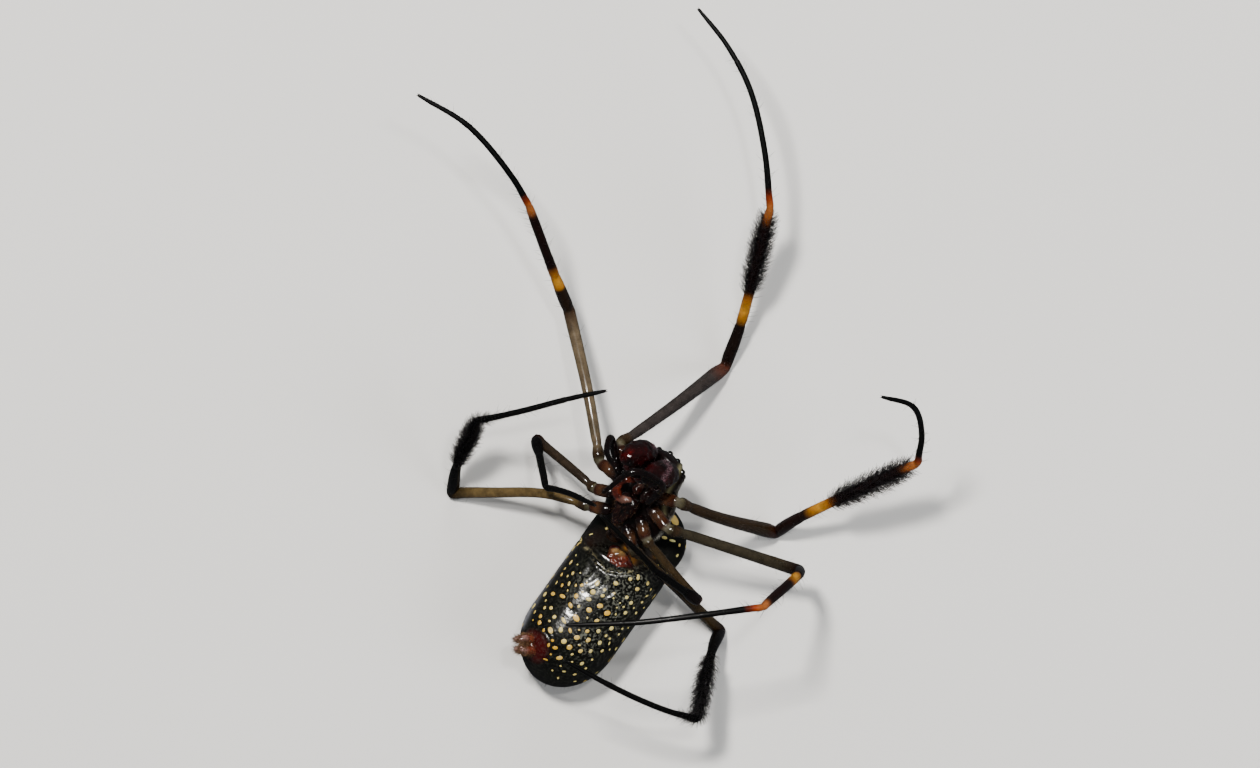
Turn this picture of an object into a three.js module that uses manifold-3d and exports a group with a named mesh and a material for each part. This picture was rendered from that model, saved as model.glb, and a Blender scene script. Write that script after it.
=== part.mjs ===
// Golden silk orb weaver, an adult female at life size, lying on its back with its belly up.
// Millimetres, +Z up. X runs to the right of the photograph and Y to its top, so that the
// photograph looks straight down on the animal. The floor is at Z = 0.
// Left and right are the animal's own: its left legs are on the photograph's right.

import * as THREE from 'three';
import { mergeVertices } from 'three/addons/utils/BufferGeometryUtils.js';
import Module from 'manifold-3d';

const wasm = await Module();
wasm.setup();

// Scale of the photograph, and its pixel that lies over the model's origin
const PIXELS_PER_MM = 10.7;
const ORIGIN_X = 670.6;
const ORIGIN_Y = 365.8;

// Gap that two neighbouring pieces keep, and the sides of a round limb
const GAP = 0.28;
const LIMB_SIDES = 8;

// The cephalothorax: its middle, and how the body lies
const PROSOMA_X = 639;
const PROSOMA_Y = 498;
const PROSOMA_HEIGHT = 8.4;
const PROSOMA_YAW = THREE.MathUtils.degToRad(-34.8);
const PROSOMA_PITCH = THREE.MathUtils.degToRad(25);
const PROSOMA_ROLL = THREE.MathUtils.degToRad(22);
const CARAPACE = {
  rear: -4.7,
  front: 5.1,
  thoraxMiddle: -1.0,
  thoraxHalfLength: 3.75,
  thoraxHalfWidth: 3.4,
  thoraxRise: 2.1,
  headMiddle: 2.2,
  headHalfLength: 2.92,
  headHalfWidth: 2.25,
  headRise: 2.75,
  underside: 0.3,
};

// The abdomen: its middle on the floor, and its sizes
const ABDOMEN_X = 592;
const ABDOMEN_Y = 604;
const ABDOMEN_YAW = THREE.MathUtils.degToRad(-35.4);
const ABDOMEN = {
  rear: -8.8,
  front: 11.7,
  halfWidth: 4.47,
  depth: 7.8,
  rearRound: 5.4,
  frontRound: 3.75,
  rearHeight: 3.4,
  shoulderHeight: 4.7,
  frontHeight: 2.0,
  slopeStart: 4.1,
  slopeEnd: 7.0,
  flatSink: 0.1,
};

// Legs, by pair: where the trochanter stands on the prosoma, and the segments' diameters
const PAIRS = {
  1: { coxa: [2.35, 2.3], trochanter: [4.1, 3.3], femur: [1.05, 1.4], tibia: [0.95, 0.8] },
  2: { coxa: [2.35, 0.8], trochanter: [4.75, 0.6], femur: [1.0, 1.15], tibia: [0.9, 0.75] },
  3: { coxa: [2.1, -0.9], trochanter: [3.6, -1.8], femur: [0.85, 0.9], tibia: [0.7, 0.62] },
  4: { coxa: [1.5, -2.5], trochanter: [3.0, -3.5], femur: [0.9, 1.05], tibia: [0.85, 0.75] },
};
const COXA_HEIGHT = 1.45;
const COXA_DIAMETER = 1.24;
const TROCHANTER_DIAMETER = 1.15;
const KNEE_DIAMETER = 1.2;
const METATARSUS_DIAMETER = 0.58;
const TARSUS_DIAMETER = 0.5;
const CLAW_DIAMETER = 0.3;

// Bristle brushes: their stretch as shares of the segment, rings, locks to a ring, and sizes
const BRUSHES = {
  tibia_1: { from: 0.45, to: 0.87, rings: 7, around: 5, length: 2.1, stand: 0.95 },
  tibia_4: { from: 0.36, to: 0.84, rings: 6, around: 5, length: 1.9, stand: 0.85 },
  metatarsus_4: { from: 0.12, to: 0.22, rings: 2, around: 4, length: 1.6, stand: 0.4 },
};

// One lock of bristles: its width and thickness, how it leaves the limb and bends, its variety
const LOCK = {
  width: 0.75,
  thickness: 0.55,
  bend: 0.4,
  rise: 0.6,
  rootShare: 0.6,
  sunkShare: 0.35,
  spread: 0.25,
  sway: 0.35,
  variety: 0.22,
  least: 0.78,
};

// The legs' joints: photograph x, photograph y and height over the floor
const LEGS = {
  left_1: {
    pair: 1,
    side: 1,
    femur: [[716, 517, 8.4]],
    knee: [776, 533, 0.58],
    patella: [802, 517, 4.2],
    ankle: [917, 463, 11.0],
    metatarsus: [[921, 434, 15.2], [911, 406, 20.4]],
    tip: [881, 397, 24.0],
  },
  right_1: {
    pair: 1,
    side: -1,
    femur: [[674, 406, 5.6]],
    knee: [725, 367, 0.58],
    patella: [741, 324, 2.8],
    ankle: [770, 208, 9.4],
    metatarsus: [[764.5, 151, 11.2], [750, 90, 12.4], [727, 46, 13.0]],
    tip: [699, 10.5, 13.4],
  },
  left_2: {
    pair: 2,
    side: 1,
    femur: [[732, 549, 9.3]],
    knee: [799, 571, 6.1],
    patella: [797, 576, 10.0],
    ankle: [762, 606, 19.3],
    metatarsus: [[700, 614, 20.6], [640, 621, 20.3]],
    tip: [568, 624, 19.2],
  },
  right_2: {
    pair: 2,
    side: -1,
    femur: [[587, 388, 7.1]],
    knee: [569, 311, 4.9],
    patella: [555, 276, 7.9],
    ankle: [529, 206, 14.2],
    metatarsus: [[512, 177, 16.4], [469, 127, 18.6]],
    tip: [420, 97, 19.8],
  },
  left_3: {
    pair: 3,
    side: 1,
    femur: [[670, 569, 8.7]],
    knee: [697, 600, 6.6],
    patella: [684, 591, 8.3],
    ankle: [656, 571, 11.4],
    metatarsus: [[640, 554, 13.4]],
    tip: [602, 516, 16.2],
  },
  right_3: {
    pair: 3,
    side: -1,
    femur: [[565, 463, 6.2]],
    knee: [537, 440, 3.9],
    patella: [539, 455, 5.5],
    ankle: [546, 487, 8.8],
    metatarsus: [[569, 493, 12.2]],
    tip: [595, 505, 15.8],
  },
  left_4: {
    pair: 4,
    side: 1,
    femur: [[676, 588, 6.0]],
    knee: [720, 632, 0.56],
    patella: [712, 652, 3.7],
    ankle: [697, 719, 8.3],
    metatarsus: [[668, 711, 10.9], [624, 692, 13.5]],
    tip: [565, 660, 16.0],
  },
  right_4: {
    pair: 4,
    side: -1,
    femur: [[545, 494, 5.7], [490, 493, 2.7]],
    knee: [452, 493, 0.56],
    patella: [456, 467, 3.8],
    ankle: [477, 421, 10.0],
    metatarsus: [[522, 411, 13.2], [568, 399, 15.6]],
    tip: [605, 391, 17.4],
  },
};

// Feelers, as the legs: base on the prosoma, then joints by photograph x, y and height
const PALP_BASE = [2.1, 1.85, 2.75];
const PALP_DIAMETERS = [0.78, 0.74, 0.6, 0.4];
const PALPS = {
  left: { side: 1, joints: [[662, 492, 14.6], [640, 478, 17.3], [610, 489, 15.8]] },
  right: { side: -1, joints: [[611, 438, 11.6], [607, 453, 13.4], [616, 468, 14.6]] },
};

// A point of the photograph at a height over the floor, in the model's frame
function place([x, y, height]) {
  return new THREE.Vector3((x - ORIGIN_X) / PIXELS_PER_MM, (ORIGIN_Y - y) / PIXELS_PER_MM, height);
}

// A colour and finish as a material
function finish(color, roughness = 0.45) {
  return new THREE.MeshStandardMaterial({ color, roughness, metalness: 0 });
}

const MATERIALS = {
  abdomen: finish(0x2b2c20, 0.35),
  spinnerets: finish(0x8a3a1c, 0.4),
  carapace: finish(0x5a564c, 0.6),
  sternum: finish(0x2a1c14, 0.5),
  mouth: finish(0xa8482a, 0.4),
  chelicera: finish(0x3a0f16, 0.2),
  coxa: finish(0x8a5a34, 0.45),
  femur: finish(0x4a3f2c, 0.4),
  brush: finish(0x16120f, 0.7),
  metatarsus: finish(0x14110f, 0.35),
  eye: finish(0x080808, 0.1),
};

// One closed surface through rings of like points, with a pole at each end
function loft(rings, startPole, endPole) {
  const count = rings[0].length;
  const positions = [startPole, ...rings.flat(), endPole].flatMap((p) => [p.x, p.y, p.z]);
  const last = 1 + rings.length * count;
  const index = [];
  for (let k = 0; k < count; k += 1) {
    const next = (k + 1) % count;
    index.push(0, 1 + next, 1 + k);
    for (let r = 0; r < rings.length - 1; r += 1) {
      const a = 1 + r * count;
      const b = a + count;
      index.push(a + k, a + next, b + next, a + k, b + next, b + k);
    }
    index.push(last, last - count + k, last - count + next);
  }
  const geometry = new THREE.BufferGeometry();
  geometry.setAttribute('position', new THREE.Float32BufferAttribute(positions, 3));
  geometry.setIndex(index);
  return geometry;
}

// A closed geometry as a solid for joining and cutting, turned right side out where it must be
function solidOf(geometry) {
  const bare = geometry.clone();
  bare.deleteAttribute('normal');
  bare.deleteAttribute('uv');
  const merged = mergeVertices(bare, 1e-5);
  const triVerts = new Uint32Array(merged.index.array);
  const vertProperties = merged.attributes.position.array;
  const made = new wasm.Manifold(new wasm.Mesh({ numProp: 3, vertProperties, triVerts }));
  if (made.volume() > 0) return made;
  for (let i = 0; i < triVerts.length; i += 3) {
    [triVerts[i + 1], triVerts[i + 2]] = [triVerts[i + 2], triVerts[i + 1]];
  }
  return new wasm.Manifold(new wasm.Mesh({ numProp: 3, vertProperties, triVerts }));
}

// The largest closed surface of a solid, as a geometry
function geometryOf(solid) {
  const pieces = solid.decompose().sort((a, b) => b.volume() - a.volume());
  const mesh = pieces[0].getMesh();
  const geometry = new THREE.BufferGeometry();
  const positions = new Float32Array(mesh.vertProperties);
  geometry.setAttribute('position', new THREE.BufferAttribute(positions, 3));
  geometry.setIndex(new THREE.BufferAttribute(new Uint32Array(mesh.triVerts), 1));
  geometry.computeVertexNormals();
  return geometry;
}

// What is left of a solid on the near side of a plane, where a direction points to the far side
function cutBeyond(solid, point, direction) {
  const inward = direction.clone().normalize().negate();
  return solid.trimByPlane(inward.toArray(), inward.dot(point));
}

// A smooth path through joints, as evenly spread stations that take up a row of widths
function smoothPath(joints, widths, steps) {
  const curve = new THREE.CatmullRomCurve3(joints, false, 'centripetal');
  const stations = [];
  for (let i = 0; i <= steps; i += 1) {
    const u = i / steps;
    const along = u * (widths.length - 1);
    const first = Math.min(Math.floor(along), widths.length - 2);
    const width = THREE.MathUtils.lerp(widths[first], widths[first + 1], along - first);
    stations.push({ point: curve.getPoint(u), radius: width / 2 });
  }
  return stations;
}

// A round limb along stations, with rounded ends
function limb(stations, sides = LIMB_SIDES, roundness = 1) {
  const ahead = (i) => {
    const a = stations[Math.max(0, i - 1)].point;
    const b = stations[Math.min(stations.length - 1, i + 1)].point;
    return b.clone().sub(a).normalize();
  };
  const first = ahead(0);
  const upright = Math.abs(first.z) < 0.8 ? new THREE.Vector3(0, 0, 1) : new THREE.Vector3(1, 0, 0);
  let normal = upright.sub(first.clone().multiplyScalar(upright.dot(first))).normalize();
  const ring = (point, forward, radius) => {
    const across = forward.clone().cross(normal);
    return Array.from({ length: sides }, (_, k) => {
      const angle = (2 * Math.PI * k) / sides;
      return point
        .clone()
        .addScaledVector(normal, radius * Math.cos(angle))
        .addScaledVector(across, radius * Math.sin(angle));
    });
  };
  const beyond = (i, direction, share) => {
    const { point, radius } = stations[i];
    return point.clone().addScaledVector(direction, share * roundness * radius);
  };
  const half = Math.SQRT1_2;
  const end = stations.length - 1;
  const back = first.clone().negate();
  const rings = [ring(beyond(0, back, half), first, stations[0].radius * half)];
  stations.forEach(({ point, radius }, i) => {
    const forward = ahead(i);
    normal = normal.clone().addScaledVector(forward, -normal.dot(forward)).normalize();
    rings.push(ring(point, forward, radius));
  });
  const onward = ahead(end);
  rings.push(ring(beyond(end, onward, half), onward, stations[end].radius * half));
  return loft(rings, beyond(0, back, 1), beyond(end, onward, 1));
}

// A seeded draw between 0 and 1, the same on each run
function seededDraw(seed) {
  let state = seed;
  return () => {
    state = (state + 0x6d2b79f5) | 0;
    let t = Math.imul(state ^ (state >>> 15), 1 | state);
    t = (t + Math.imul(t ^ (t >>> 7), 61 | t)) ^ t;
    return ((t ^ (t >>> 14)) >>> 0) / 4294967296;
  };
}

// A flat lock of bristles: a root sunk in the limb, a bend where it turns to lie along it, a tip
function lock(root, out, forward, radius, length, stand, sway) {
  const side = out.clone().cross(forward);
  const at = (along, off, aside) =>
    root.clone().addScaledVector(forward, along).addScaledVector(out, off).addScaledVector(side, aside);
  const base = at(0, radius * LOCK.sunkShare, 0);
  const bend = at(length * LOCK.bend, radius + stand * LOCK.rise, sway * LOCK.bend);
  const tip = at(length, radius + stand, sway);
  const section = (middle, next, share) => {
    const thick = next.clone().sub(middle).cross(side).normalize();
    const halfWidth = (LOCK.width / 2) * share;
    const halfDepth = (LOCK.thickness / 2) * share;
    return [
      middle.clone().addScaledVector(side, halfWidth).addScaledVector(thick, halfDepth),
      middle.clone().addScaledVector(side, -halfWidth).addScaledVector(thick, halfDepth),
      middle.clone().addScaledVector(thick, -halfDepth),
    ];
  };
  return solidOf(loft([section(base, bend, LOCK.rootShare), section(bend, tip, 1)], root, tip));
}

// Locks round a limb, in staggered rings that overlap towards its end and are fullest between
function brush(stations, { from, to, rings, around, length, stand }, draw) {
  const locks = [];
  const last = stations.length - 1;
  const vary = (amount) => (draw() - 0.5) * amount;
  for (let i = 0; i < rings; i += 1) {
    const share = i / (rings - 1);
    const along = THREE.MathUtils.lerp(from, to, share) * last;
    const k = Math.floor(along);
    const root = stations[k].point.clone().lerp(stations[k + 1].point, along - k);
    const forward = stations[k + 1].point.clone().sub(stations[k].point).normalize();
    const { radius } = stations[k + 1];
    const upright = new THREE.Vector3(0, 0, 1).cross(forward).normalize();
    const across = forward.clone().cross(upright);
    const full = THREE.MathUtils.lerp(LOCK.least, 1, Math.sin(Math.PI * share));
    for (let j = 0; j < around; j += 1) {
      const angle = (2 * Math.PI * (j + (i % 2) / 2)) / around + vary(LOCK.spread);
      const out = upright.clone().multiplyScalar(Math.cos(angle)).addScaledVector(across, Math.sin(angle));
      const size = full * (1 + vary(LOCK.variety));
      locks.push(lock(root, out, forward, radius, length * size, stand * size, vary(LOCK.sway)));
    }
  }
  return wasm.Manifold.union(locks);
}

// Stations of a limb made thicker all round, for what has to stay clear of it
function thicker(stations, extra) {
  return stations.map(({ point, radius }) => ({ point, radius: radius + extra }));
}

// An ellipsoid about a point, as a solid
function ellipsoid(middle, halfSizes, across = 12, along = 8) {
  const sphere = new THREE.SphereGeometry(1, across, along);
  sphere.scale(...halfSizes);
  sphere.translate(middle.x, middle.y, middle.z);
  return solidOf(sphere);
}

// A small coarse ball, as a solid
function ball(middle, radius) {
  return ellipsoid(middle, [radius, radius, radius], 8, 5);
}

// Half of an ellipse's height, flatter towards its middle for a larger power
function bow(offset, halfLength, power = 2) {
  const share = Math.min(Math.abs(offset / halfLength), 1);
  return (1 - share ** power) ** (1 / power);
}

// Rings of a body from rear to front, given its section at each place along it
function bodyLoft(rear, front, steps, sides, section, poleHeights) {
  const rings = [];
  for (let i = 1; i < steps; i += 1) {
    const y = rear + ((front - rear) * (1 - Math.cos((Math.PI * i) / steps))) / 2;
    const { halfWidth, top, bottom, power } = section(y);
    const middle = (top + bottom) / 2;
    const ring = Array.from({ length: sides }, (_, k) => {
      const angle = (2 * Math.PI * k) / sides;
      const c = Math.cos(angle);
      const s = Math.sin(angle);
      const x = halfWidth * Math.sign(c) * Math.abs(c) ** (2 / power);
      const rise = ((top - bottom) / 2) * Math.sign(s) * Math.abs(s) ** (2 / power);
      return new THREE.Vector3(x, y, middle + rise);
    });
    rings.push(ring);
  }
  const start = new THREE.Vector3(0, rear, poleHeights[0]);
  const end = new THREE.Vector3(0, front, poleHeights[1]);
  return solidOf(loft(rings, start, end));
}

// The cephalothorax's section: the broad thorax and the raised head run into each other
function carapaceSection(y, grow = 0) {
  const c = CARAPACE;
  const thorax = bow(y - c.thoraxMiddle, c.thoraxHalfLength + grow);
  const head = bow(y - c.headMiddle, c.headHalfLength + grow, 2.5);
  const blend = (a, b) => (a ** 4 + b ** 4) ** 0.25;
  const halfWidth = blend(c.thoraxHalfWidth * thorax, c.headHalfWidth * head) + grow;
  const rise = blend(c.thoraxRise * thorax, c.headRise * head) + grow;
  const ends = bow(y - (c.front + c.rear) / 2, (c.front - c.rear) / 2 + grow, 4);
  return { halfWidth, top: c.underside * ends + grow, bottom: -rise, power: 2.1 };
}

function carapace(grow = 0) {
  const section = (y) => carapaceSection(y, grow);
  return bodyLoft(CARAPACE.rear - grow, CARAPACE.front + grow, 22, 20, section, [-0.2, -0.4]);
}

// A point of the carapace's back, by its place along the body and its angle down from the side
function carapacePoint(y, angle) {
  const { halfWidth, top, bottom } = carapaceSection(y);
  const middle = (top + bottom) / 2;
  const down = ((top - bottom) / 2) * Math.sin(angle);
  return new THREE.Vector3(halfWidth * Math.cos(angle), y, middle - down);
}

// The abdomen's section: full and round, sloping from the furrow to the low front shoulder
function abdomenSection(y, grow = 0) {
  const a = ABDOMEN;
  const rear = y < a.rear + a.rearRound ? bow(y - a.rear - a.rearRound, a.rearRound + grow) : 1;
  const front = y > a.front - a.frontRound ? bow(y - a.front + a.frontRound, a.frontRound + grow) : 1;
  const slope = THREE.MathUtils.smoothstep(y, a.slopeStart, a.slopeEnd);
  const crown = THREE.MathUtils.lerp(a.depth, a.shoulderHeight, slope);
  const level = y < 0 ? a.rearHeight : a.frontHeight;
  const ends = Math.min(rear, front);
  return {
    halfWidth: a.halfWidth * ends + grow,
    top: level + (crown - level) * ends + grow,
    bottom: level - (level + a.flatSink) * bow(1 - ends, 1, 1.6) - grow,
    power: 2.15,
  };
}

function abdomen(grow = 0) {
  const section = (y) => abdomenSection(y, grow);
  const { rear, front, rearHeight, frontHeight } = ABDOMEN;
  return bodyLoft(rear - grow, front + grow, 26, 22, section, [rearHeight, frontHeight]);
}

// Groups that carry the two halves of the body: local +Y points to the head, +Z to the belly
const spider = new THREE.Group();
const prosoma = new THREE.Group();
prosoma.position.copy(place([PROSOMA_X, PROSOMA_Y, PROSOMA_HEIGHT]));
prosoma.rotation.set(PROSOMA_PITCH, -PROSOMA_ROLL, PROSOMA_YAW, 'ZXY');
const opisthosoma = new THREE.Group();
opisthosoma.position.copy(place([ABDOMEN_X, ABDOMEN_Y, 0]));
opisthosoma.rotation.z = ABDOMEN_YAW;
spider.add(prosoma, opisthosoma);
spider.updateMatrixWorld(true);

// Solids of the two halves in the model's frame, grown by the gap, which clear their neighbours
const prosomaRoom = carapace(GAP).transform(prosoma.matrixWorld.toArray());
const abdomenRoom = abdomen(GAP).transform(opisthosoma.matrixWorld.toArray());

function addMesh(parent, name, solid, material) {
  const mesh = new THREE.Mesh(geometryOf(solid), material);
  mesh.name = name;
  parent.add(mesh);
}

// A limb's stations from points that differ in place and radius alone
function stationsOf(places, at) {
  return places.map(([radius, ...point]) => ({ point: at(...point), radius }));
}

// What of a solid is above the floor
function floored(solid) {
  return cutBeyond(solid, new THREE.Vector3(0, 0, 0), new THREE.Vector3(0, 0, -1));
}

// The abdomen, with the raised plate of the epigynum, on a small flat
const EPIGYNUM = { middle: [-0.4, 4.85, 7.15], halfSizes: [1.4, 0.95, 0.95] };

function buildAbdomen() {
  const epigynum = ellipsoid(new THREE.Vector3(...EPIGYNUM.middle), EPIGYNUM.halfSizes);
  addMesh(opisthosoma, 'abdomen', floored(abdomen().add(epigynum)), MATERIALS.abdomen);
}

// The spinnerets: a low cone with two pairs of fingers, each station by radius and place along
const SPINNERETS = {
  base: [-2.0, -6.2, 5.6],
  lean: [-0.62, -0.38, 0.69],
  across: [0.6, -0.8, 0],
  cone: [[1.2, -0.4], [1.02, 0.5], [0.75, 1.0]],
  finger: [[0.42, 0.4, 1], [0.34, 2.0, 1.15], [0.22, 2.4, 0.85]],
  spread: [0.48, 0.38],
};

function buildSpinnerets() {
  const base = new THREE.Vector3(...SPINNERETS.base);
  const axis = new THREE.Vector3(...SPINNERETS.lean).normalize();
  const across = new THREE.Vector3(...SPINNERETS.across).normalize();
  const other = axis.clone().cross(across);
  const at = (along, aside = 0, up = 0) =>
    base.clone().addScaledVector(axis, along).addScaledVector(across, aside).addScaledVector(other, up);
  let solid = solidOf(limb(stationsOf(SPINNERETS.cone, at), 12, 0.4));
  for (const side of [-1, 1]) {
    for (const level of [-1, 1]) {
      const [aside, up] = SPINNERETS.spread;
      const spot = (along, share) => at(along, side * aside * share, level * up * share);
      solid = solid.add(solidOf(limb(stationsOf(SPINNERETS.finger, spot))));
    }
  }
  const clear = solid.subtract(abdomen(GAP));
  addMesh(opisthosoma, 'spinnerets', clear, MATERIALS.spinnerets);
}

// The thin waist, from a point in each of the two halves to the other
const PEDICEL = { front: [0, -4.0, 0.0], frontRadius: 0.66, rear: [-2.0, 6.2, 4.2], rearRadius: 0.8 };

function buildPedicel() {
  const front = prosoma.localToWorld(new THREE.Vector3(...PEDICEL.front));
  const rear = opisthosoma.localToWorld(new THREE.Vector3(...PEDICEL.rear));
  const waist = [
    { point: front, radius: PEDICEL.frontRadius },
    { point: rear, radius: PEDICEL.rearRadius },
  ];
  const solid = solidOf(limb(waist, 10)).subtract(prosomaRoom).subtract(abdomenRoom);
  addMesh(spider, 'pedicel', solid, MATERIALS.coxa);
}

// Eight eyes in two rows across the front of the head, by place and angle down from the side
const EYE_RADIUS = 0.3;
const SOCKET_RADIUS = EYE_RADIUS + GAP * 0.6;
const EYES = {
  front_median: { y: 4.86, angle: 64 },
  rear_median: { y: 4.35, angle: 67 },
  front_lateral: { y: 4.45, angle: 16 },
  rear_lateral: { y: 3.85, angle: 34 },
};

function buildCephalothorax() {
  let solid = carapace();
  for (const [name, { y, angle }] of Object.entries(EYES)) {
    for (const side of [-1, 1]) {
      const middle = carapacePoint(y, THREE.MathUtils.degToRad(angle));
      middle.x *= side;
      solid = solid.subtract(ball(middle, SOCKET_RADIUS));
      const label = `eye_${name}_${side > 0 ? 'left' : 'right'}`;
      addMesh(prosoma, label, ball(middle, EYE_RADIUS), MATERIALS.eye);
    }
  }
  addMesh(prosoma, 'cephalothorax', solid, MATERIALS.carapace);
}

// Sternum, lip and the two lobes beside the lip, between the coxae
const STERNUM = { rear: -3.0, widest: -0.65, front: 0.45, halfWidth: 1.1, bottom: 0.75, top: 1.95 };
const LABIUM = { middle: [0, 1.35, 1.45], halfSizes: [0.5, 0.62, 0.6] };
const MAXILLA = { aside: 1.22, forward: 1.7, height: 1.75, halfSizes: [0.42, 0.98, 0.85] };

function buildUnderside() {
  const { rear, widest, front, halfWidth, bottom, top } = STERNUM;
  const heart = (y) => {
    const width = y > widest ? bow(y - widest, front - widest, 3) : bow(y - widest, widest - rear, 1.7);
    const full = Math.sqrt(width);
    const middle = (top + bottom) / 2;
    const rise = ((top - bottom) / 2) * full;
    return { halfWidth: halfWidth * width, top: middle + rise, bottom: middle - rise, power: 2.6 };
  };
  const height = (top + bottom) / 2;
  const plate = bodyLoft(rear, front, 12, 14, heart, [height, height]);
  addMesh(prosoma, 'sternum', plate.subtract(carapace(GAP)), MATERIALS.sternum);
  const lip = ellipsoid(new THREE.Vector3(...LABIUM.middle), LABIUM.halfSizes);
  addMesh(prosoma, 'labium', lip.subtract(carapace(GAP)), MATERIALS.mouth);
  for (const side of [-1, 1]) {
    const middle = new THREE.Vector3(side * MAXILLA.aside, MAXILLA.forward, MAXILLA.height);
    const lobe = ellipsoid(middle, MAXILLA.halfSizes, 12, 10);
    const label = `maxilla_${side > 0 ? 'left' : 'right'}`;
    addMesh(prosoma, label, lobe.subtract(carapace(GAP)), MATERIALS.mouth);
  }
}

// Stout jaws that hang from the front of the head, each with its fang folded inwards; a station
// is given by its radius and its place
const CHELICERA = {
  jaw: [[1.17, 1.45, 4.45, 1.2], [1.3, 1.47, 4.65, 2.4], [1.26, 1.45, 4.6, 3.4], [0.94, 1.4, 4.4, 4.25]],
  fang: [[0.34, 1.45, 4.05, 4.4], [0.24, 0.85, 3.55, 4.55], [0.14, 0.35, 3.3, 4.3]],
};

function buildChelicerae() {
  for (const side of [-1, 1]) {
    const at = (x, y, z) => new THREE.Vector3(side * x, y, z);
    const jaw = solidOf(limb(stationsOf(CHELICERA.jaw, at), 14, 0.8));
    const solid = jaw.add(solidOf(limb(stationsOf(CHELICERA.fang, at), 6)));
    const clear = solid.subtract(carapace(GAP));
    addMesh(prosoma, `chelicera_${side > 0 ? 'left' : 'right'}`, clear, MATERIALS.chelicera);
  }
}

// Feelers beside the jaws
function buildPalps() {
  for (const [name, { side, joints }] of Object.entries(PALPS)) {
    const base = prosoma.localToWorld(new THREE.Vector3(side * PALP_BASE[0], PALP_BASE[1], PALP_BASE[2]));
    const path = [base, ...joints.map(place)];
    const palp = solidOf(limb(smoothPath(path, PALP_DIAMETERS, 12)));
    addMesh(spider, `palp_${name}`, palp, MATERIALS.metatarsus);
  }
}

// The direction of a thin cut through a joint, half way between the two limbs' directions
function between(before, joint, after) {
  const inward = joint.clone().sub(before).normalize();
  const outward = after.clone().sub(joint).normalize();
  return inward.add(outward).normalize();
}

// A leg's segment: a limb that reaches past both joints, cut thinly at each
function segment(stations, start, startCut, end, endCut, sides = LIMB_SIDES) {
  let solid = solidOf(limb(stations, sides));
  const before = start.clone().addScaledVector(startCut, GAP / 2);
  solid = cutBeyond(solid, before, startCut.clone().negate());
  if (!endCut) return solid;
  return cutBeyond(solid, end.clone().addScaledVector(endCut, -GAP / 2), endCut);
}

// A leg: coxa on the body, femur, tibia with its patella, and metatarsus with its tarsus
function buildLeg(name, leg) {
  const pair = PAIRS[leg.pair];
  const onProsoma = ([x, y]) => prosoma.localToWorld(new THREE.Vector3(leg.side * x, y, COXA_HEIGHT));
  const hip = onProsoma(pair.coxa);
  const trochanter = onProsoma(pair.trochanter);
  const knee = place(leg.knee);
  const patella = place(leg.patella);
  const ankle = place(leg.ankle);
  const tip = place(leg.tip);
  const femurPath = [trochanter, ...leg.femur.map(place), knee];
  const tibiaPath = [knee, patella, ankle];
  const footPath = [ankle, ...leg.metatarsus.map(place), tip];
  const hipCut = between(hip, trochanter, femurPath[1]);
  const kneeCut = between(femurPath.at(-2), knee, patella);
  const ankleCut = between(patella, ankle, footPath[1]);

  const coxaStations = [
    { point: hip, radius: COXA_DIAMETER / 2 },
    { point: trochanter.clone().lerp(hip, 0.45), radius: (COXA_DIAMETER / 2) * 0.96 },
    { point: trochanter, radius: TROCHANTER_DIAMETER / 2 },
  ];
  const coxa = cutBeyond(
    solidOf(limb(coxaStations, 10, 0.9)).subtract(prosomaRoom),
    trochanter.clone().addScaledVector(hipCut, -GAP / 2),
    hipCut,
  );
  addMesh(spider, `coxa_${name}`, coxa, MATERIALS.coxa);

  const [femurBase, femurEnd] = pair.femur;
  const femurMiddle = (femurBase + femurEnd) / 2;
  const femurWidths = [TROCHANTER_DIAMETER * 0.8, femurBase, femurMiddle, femurEnd, KNEE_DIAMETER];
  const femurStations = smoothPath(femurPath, femurWidths, 6);
  const femur = segment(femurStations, trochanter, hipCut, knee, kneeCut);
  addMesh(spider, `femur_${name}`, floored(femur), MATERIALS.femur);

  const [tibiaBase, tibiaEnd] = pair.tibia;
  const tibiaWidths = [KNEE_DIAMETER, tibiaBase * 1.08, tibiaBase, tibiaBase, tibiaEnd];
  const tibiaStations = smoothPath(tibiaPath, tibiaWidths, 10);
  let tibia = segment(tibiaStations, knee, kneeCut, ankle, ankleCut);

  const [slender, tarsus] = [METATARSUS_DIAMETER, TARSUS_DIAMETER];
  const footWidths = [tibiaEnd * 0.9, slender, slender, tarsus, CLAW_DIAMETER];
  const footStations = smoothPath(footPath, footWidths, 11);
  let foot = segment(footStations, ankle, ankleCut, tip, null, 6);
  const draw = seededDraw(leg.pair * 10 + leg.side);
  const onTibia = BRUSHES[`tibia_${leg.pair}`];
  if (onTibia) {
    const footRoom = solidOf(limb(thicker(footStations, GAP)));
    tibia = tibia.add(brush(tibiaStations, onTibia, draw).subtract(footRoom));
  }
  const onFoot = BRUSHES[`metatarsus_${leg.pair}`];
  if (onFoot) {
    const tibiaRoom = solidOf(limb(thicker(tibiaStations, onTibia.stand + GAP)));
    foot = foot.add(brush(footStations, onFoot, draw).subtract(tibiaRoom));
  }
  addMesh(spider, `tibia_${name}`, floored(tibia), MATERIALS.brush);
  addMesh(spider, `metatarsus_${name}`, foot, MATERIALS.metatarsus);
}

buildAbdomen();
buildSpinnerets();
buildPedicel();
buildCephalothorax();
buildUnderside();
buildChelicerae();
buildPalps();
for (const [name, leg] of Object.entries(LEGS)) buildLeg(name, leg);

export default spider;
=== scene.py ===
"""The looks of a golden silk orb weaver, a still life-size model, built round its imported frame.

Metres, +Z up. The animal lies on its back on the floor and the camera looks straight down on
its belly. Left and right are the animal's own: its left legs are on the photograph's right.
"""

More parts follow.
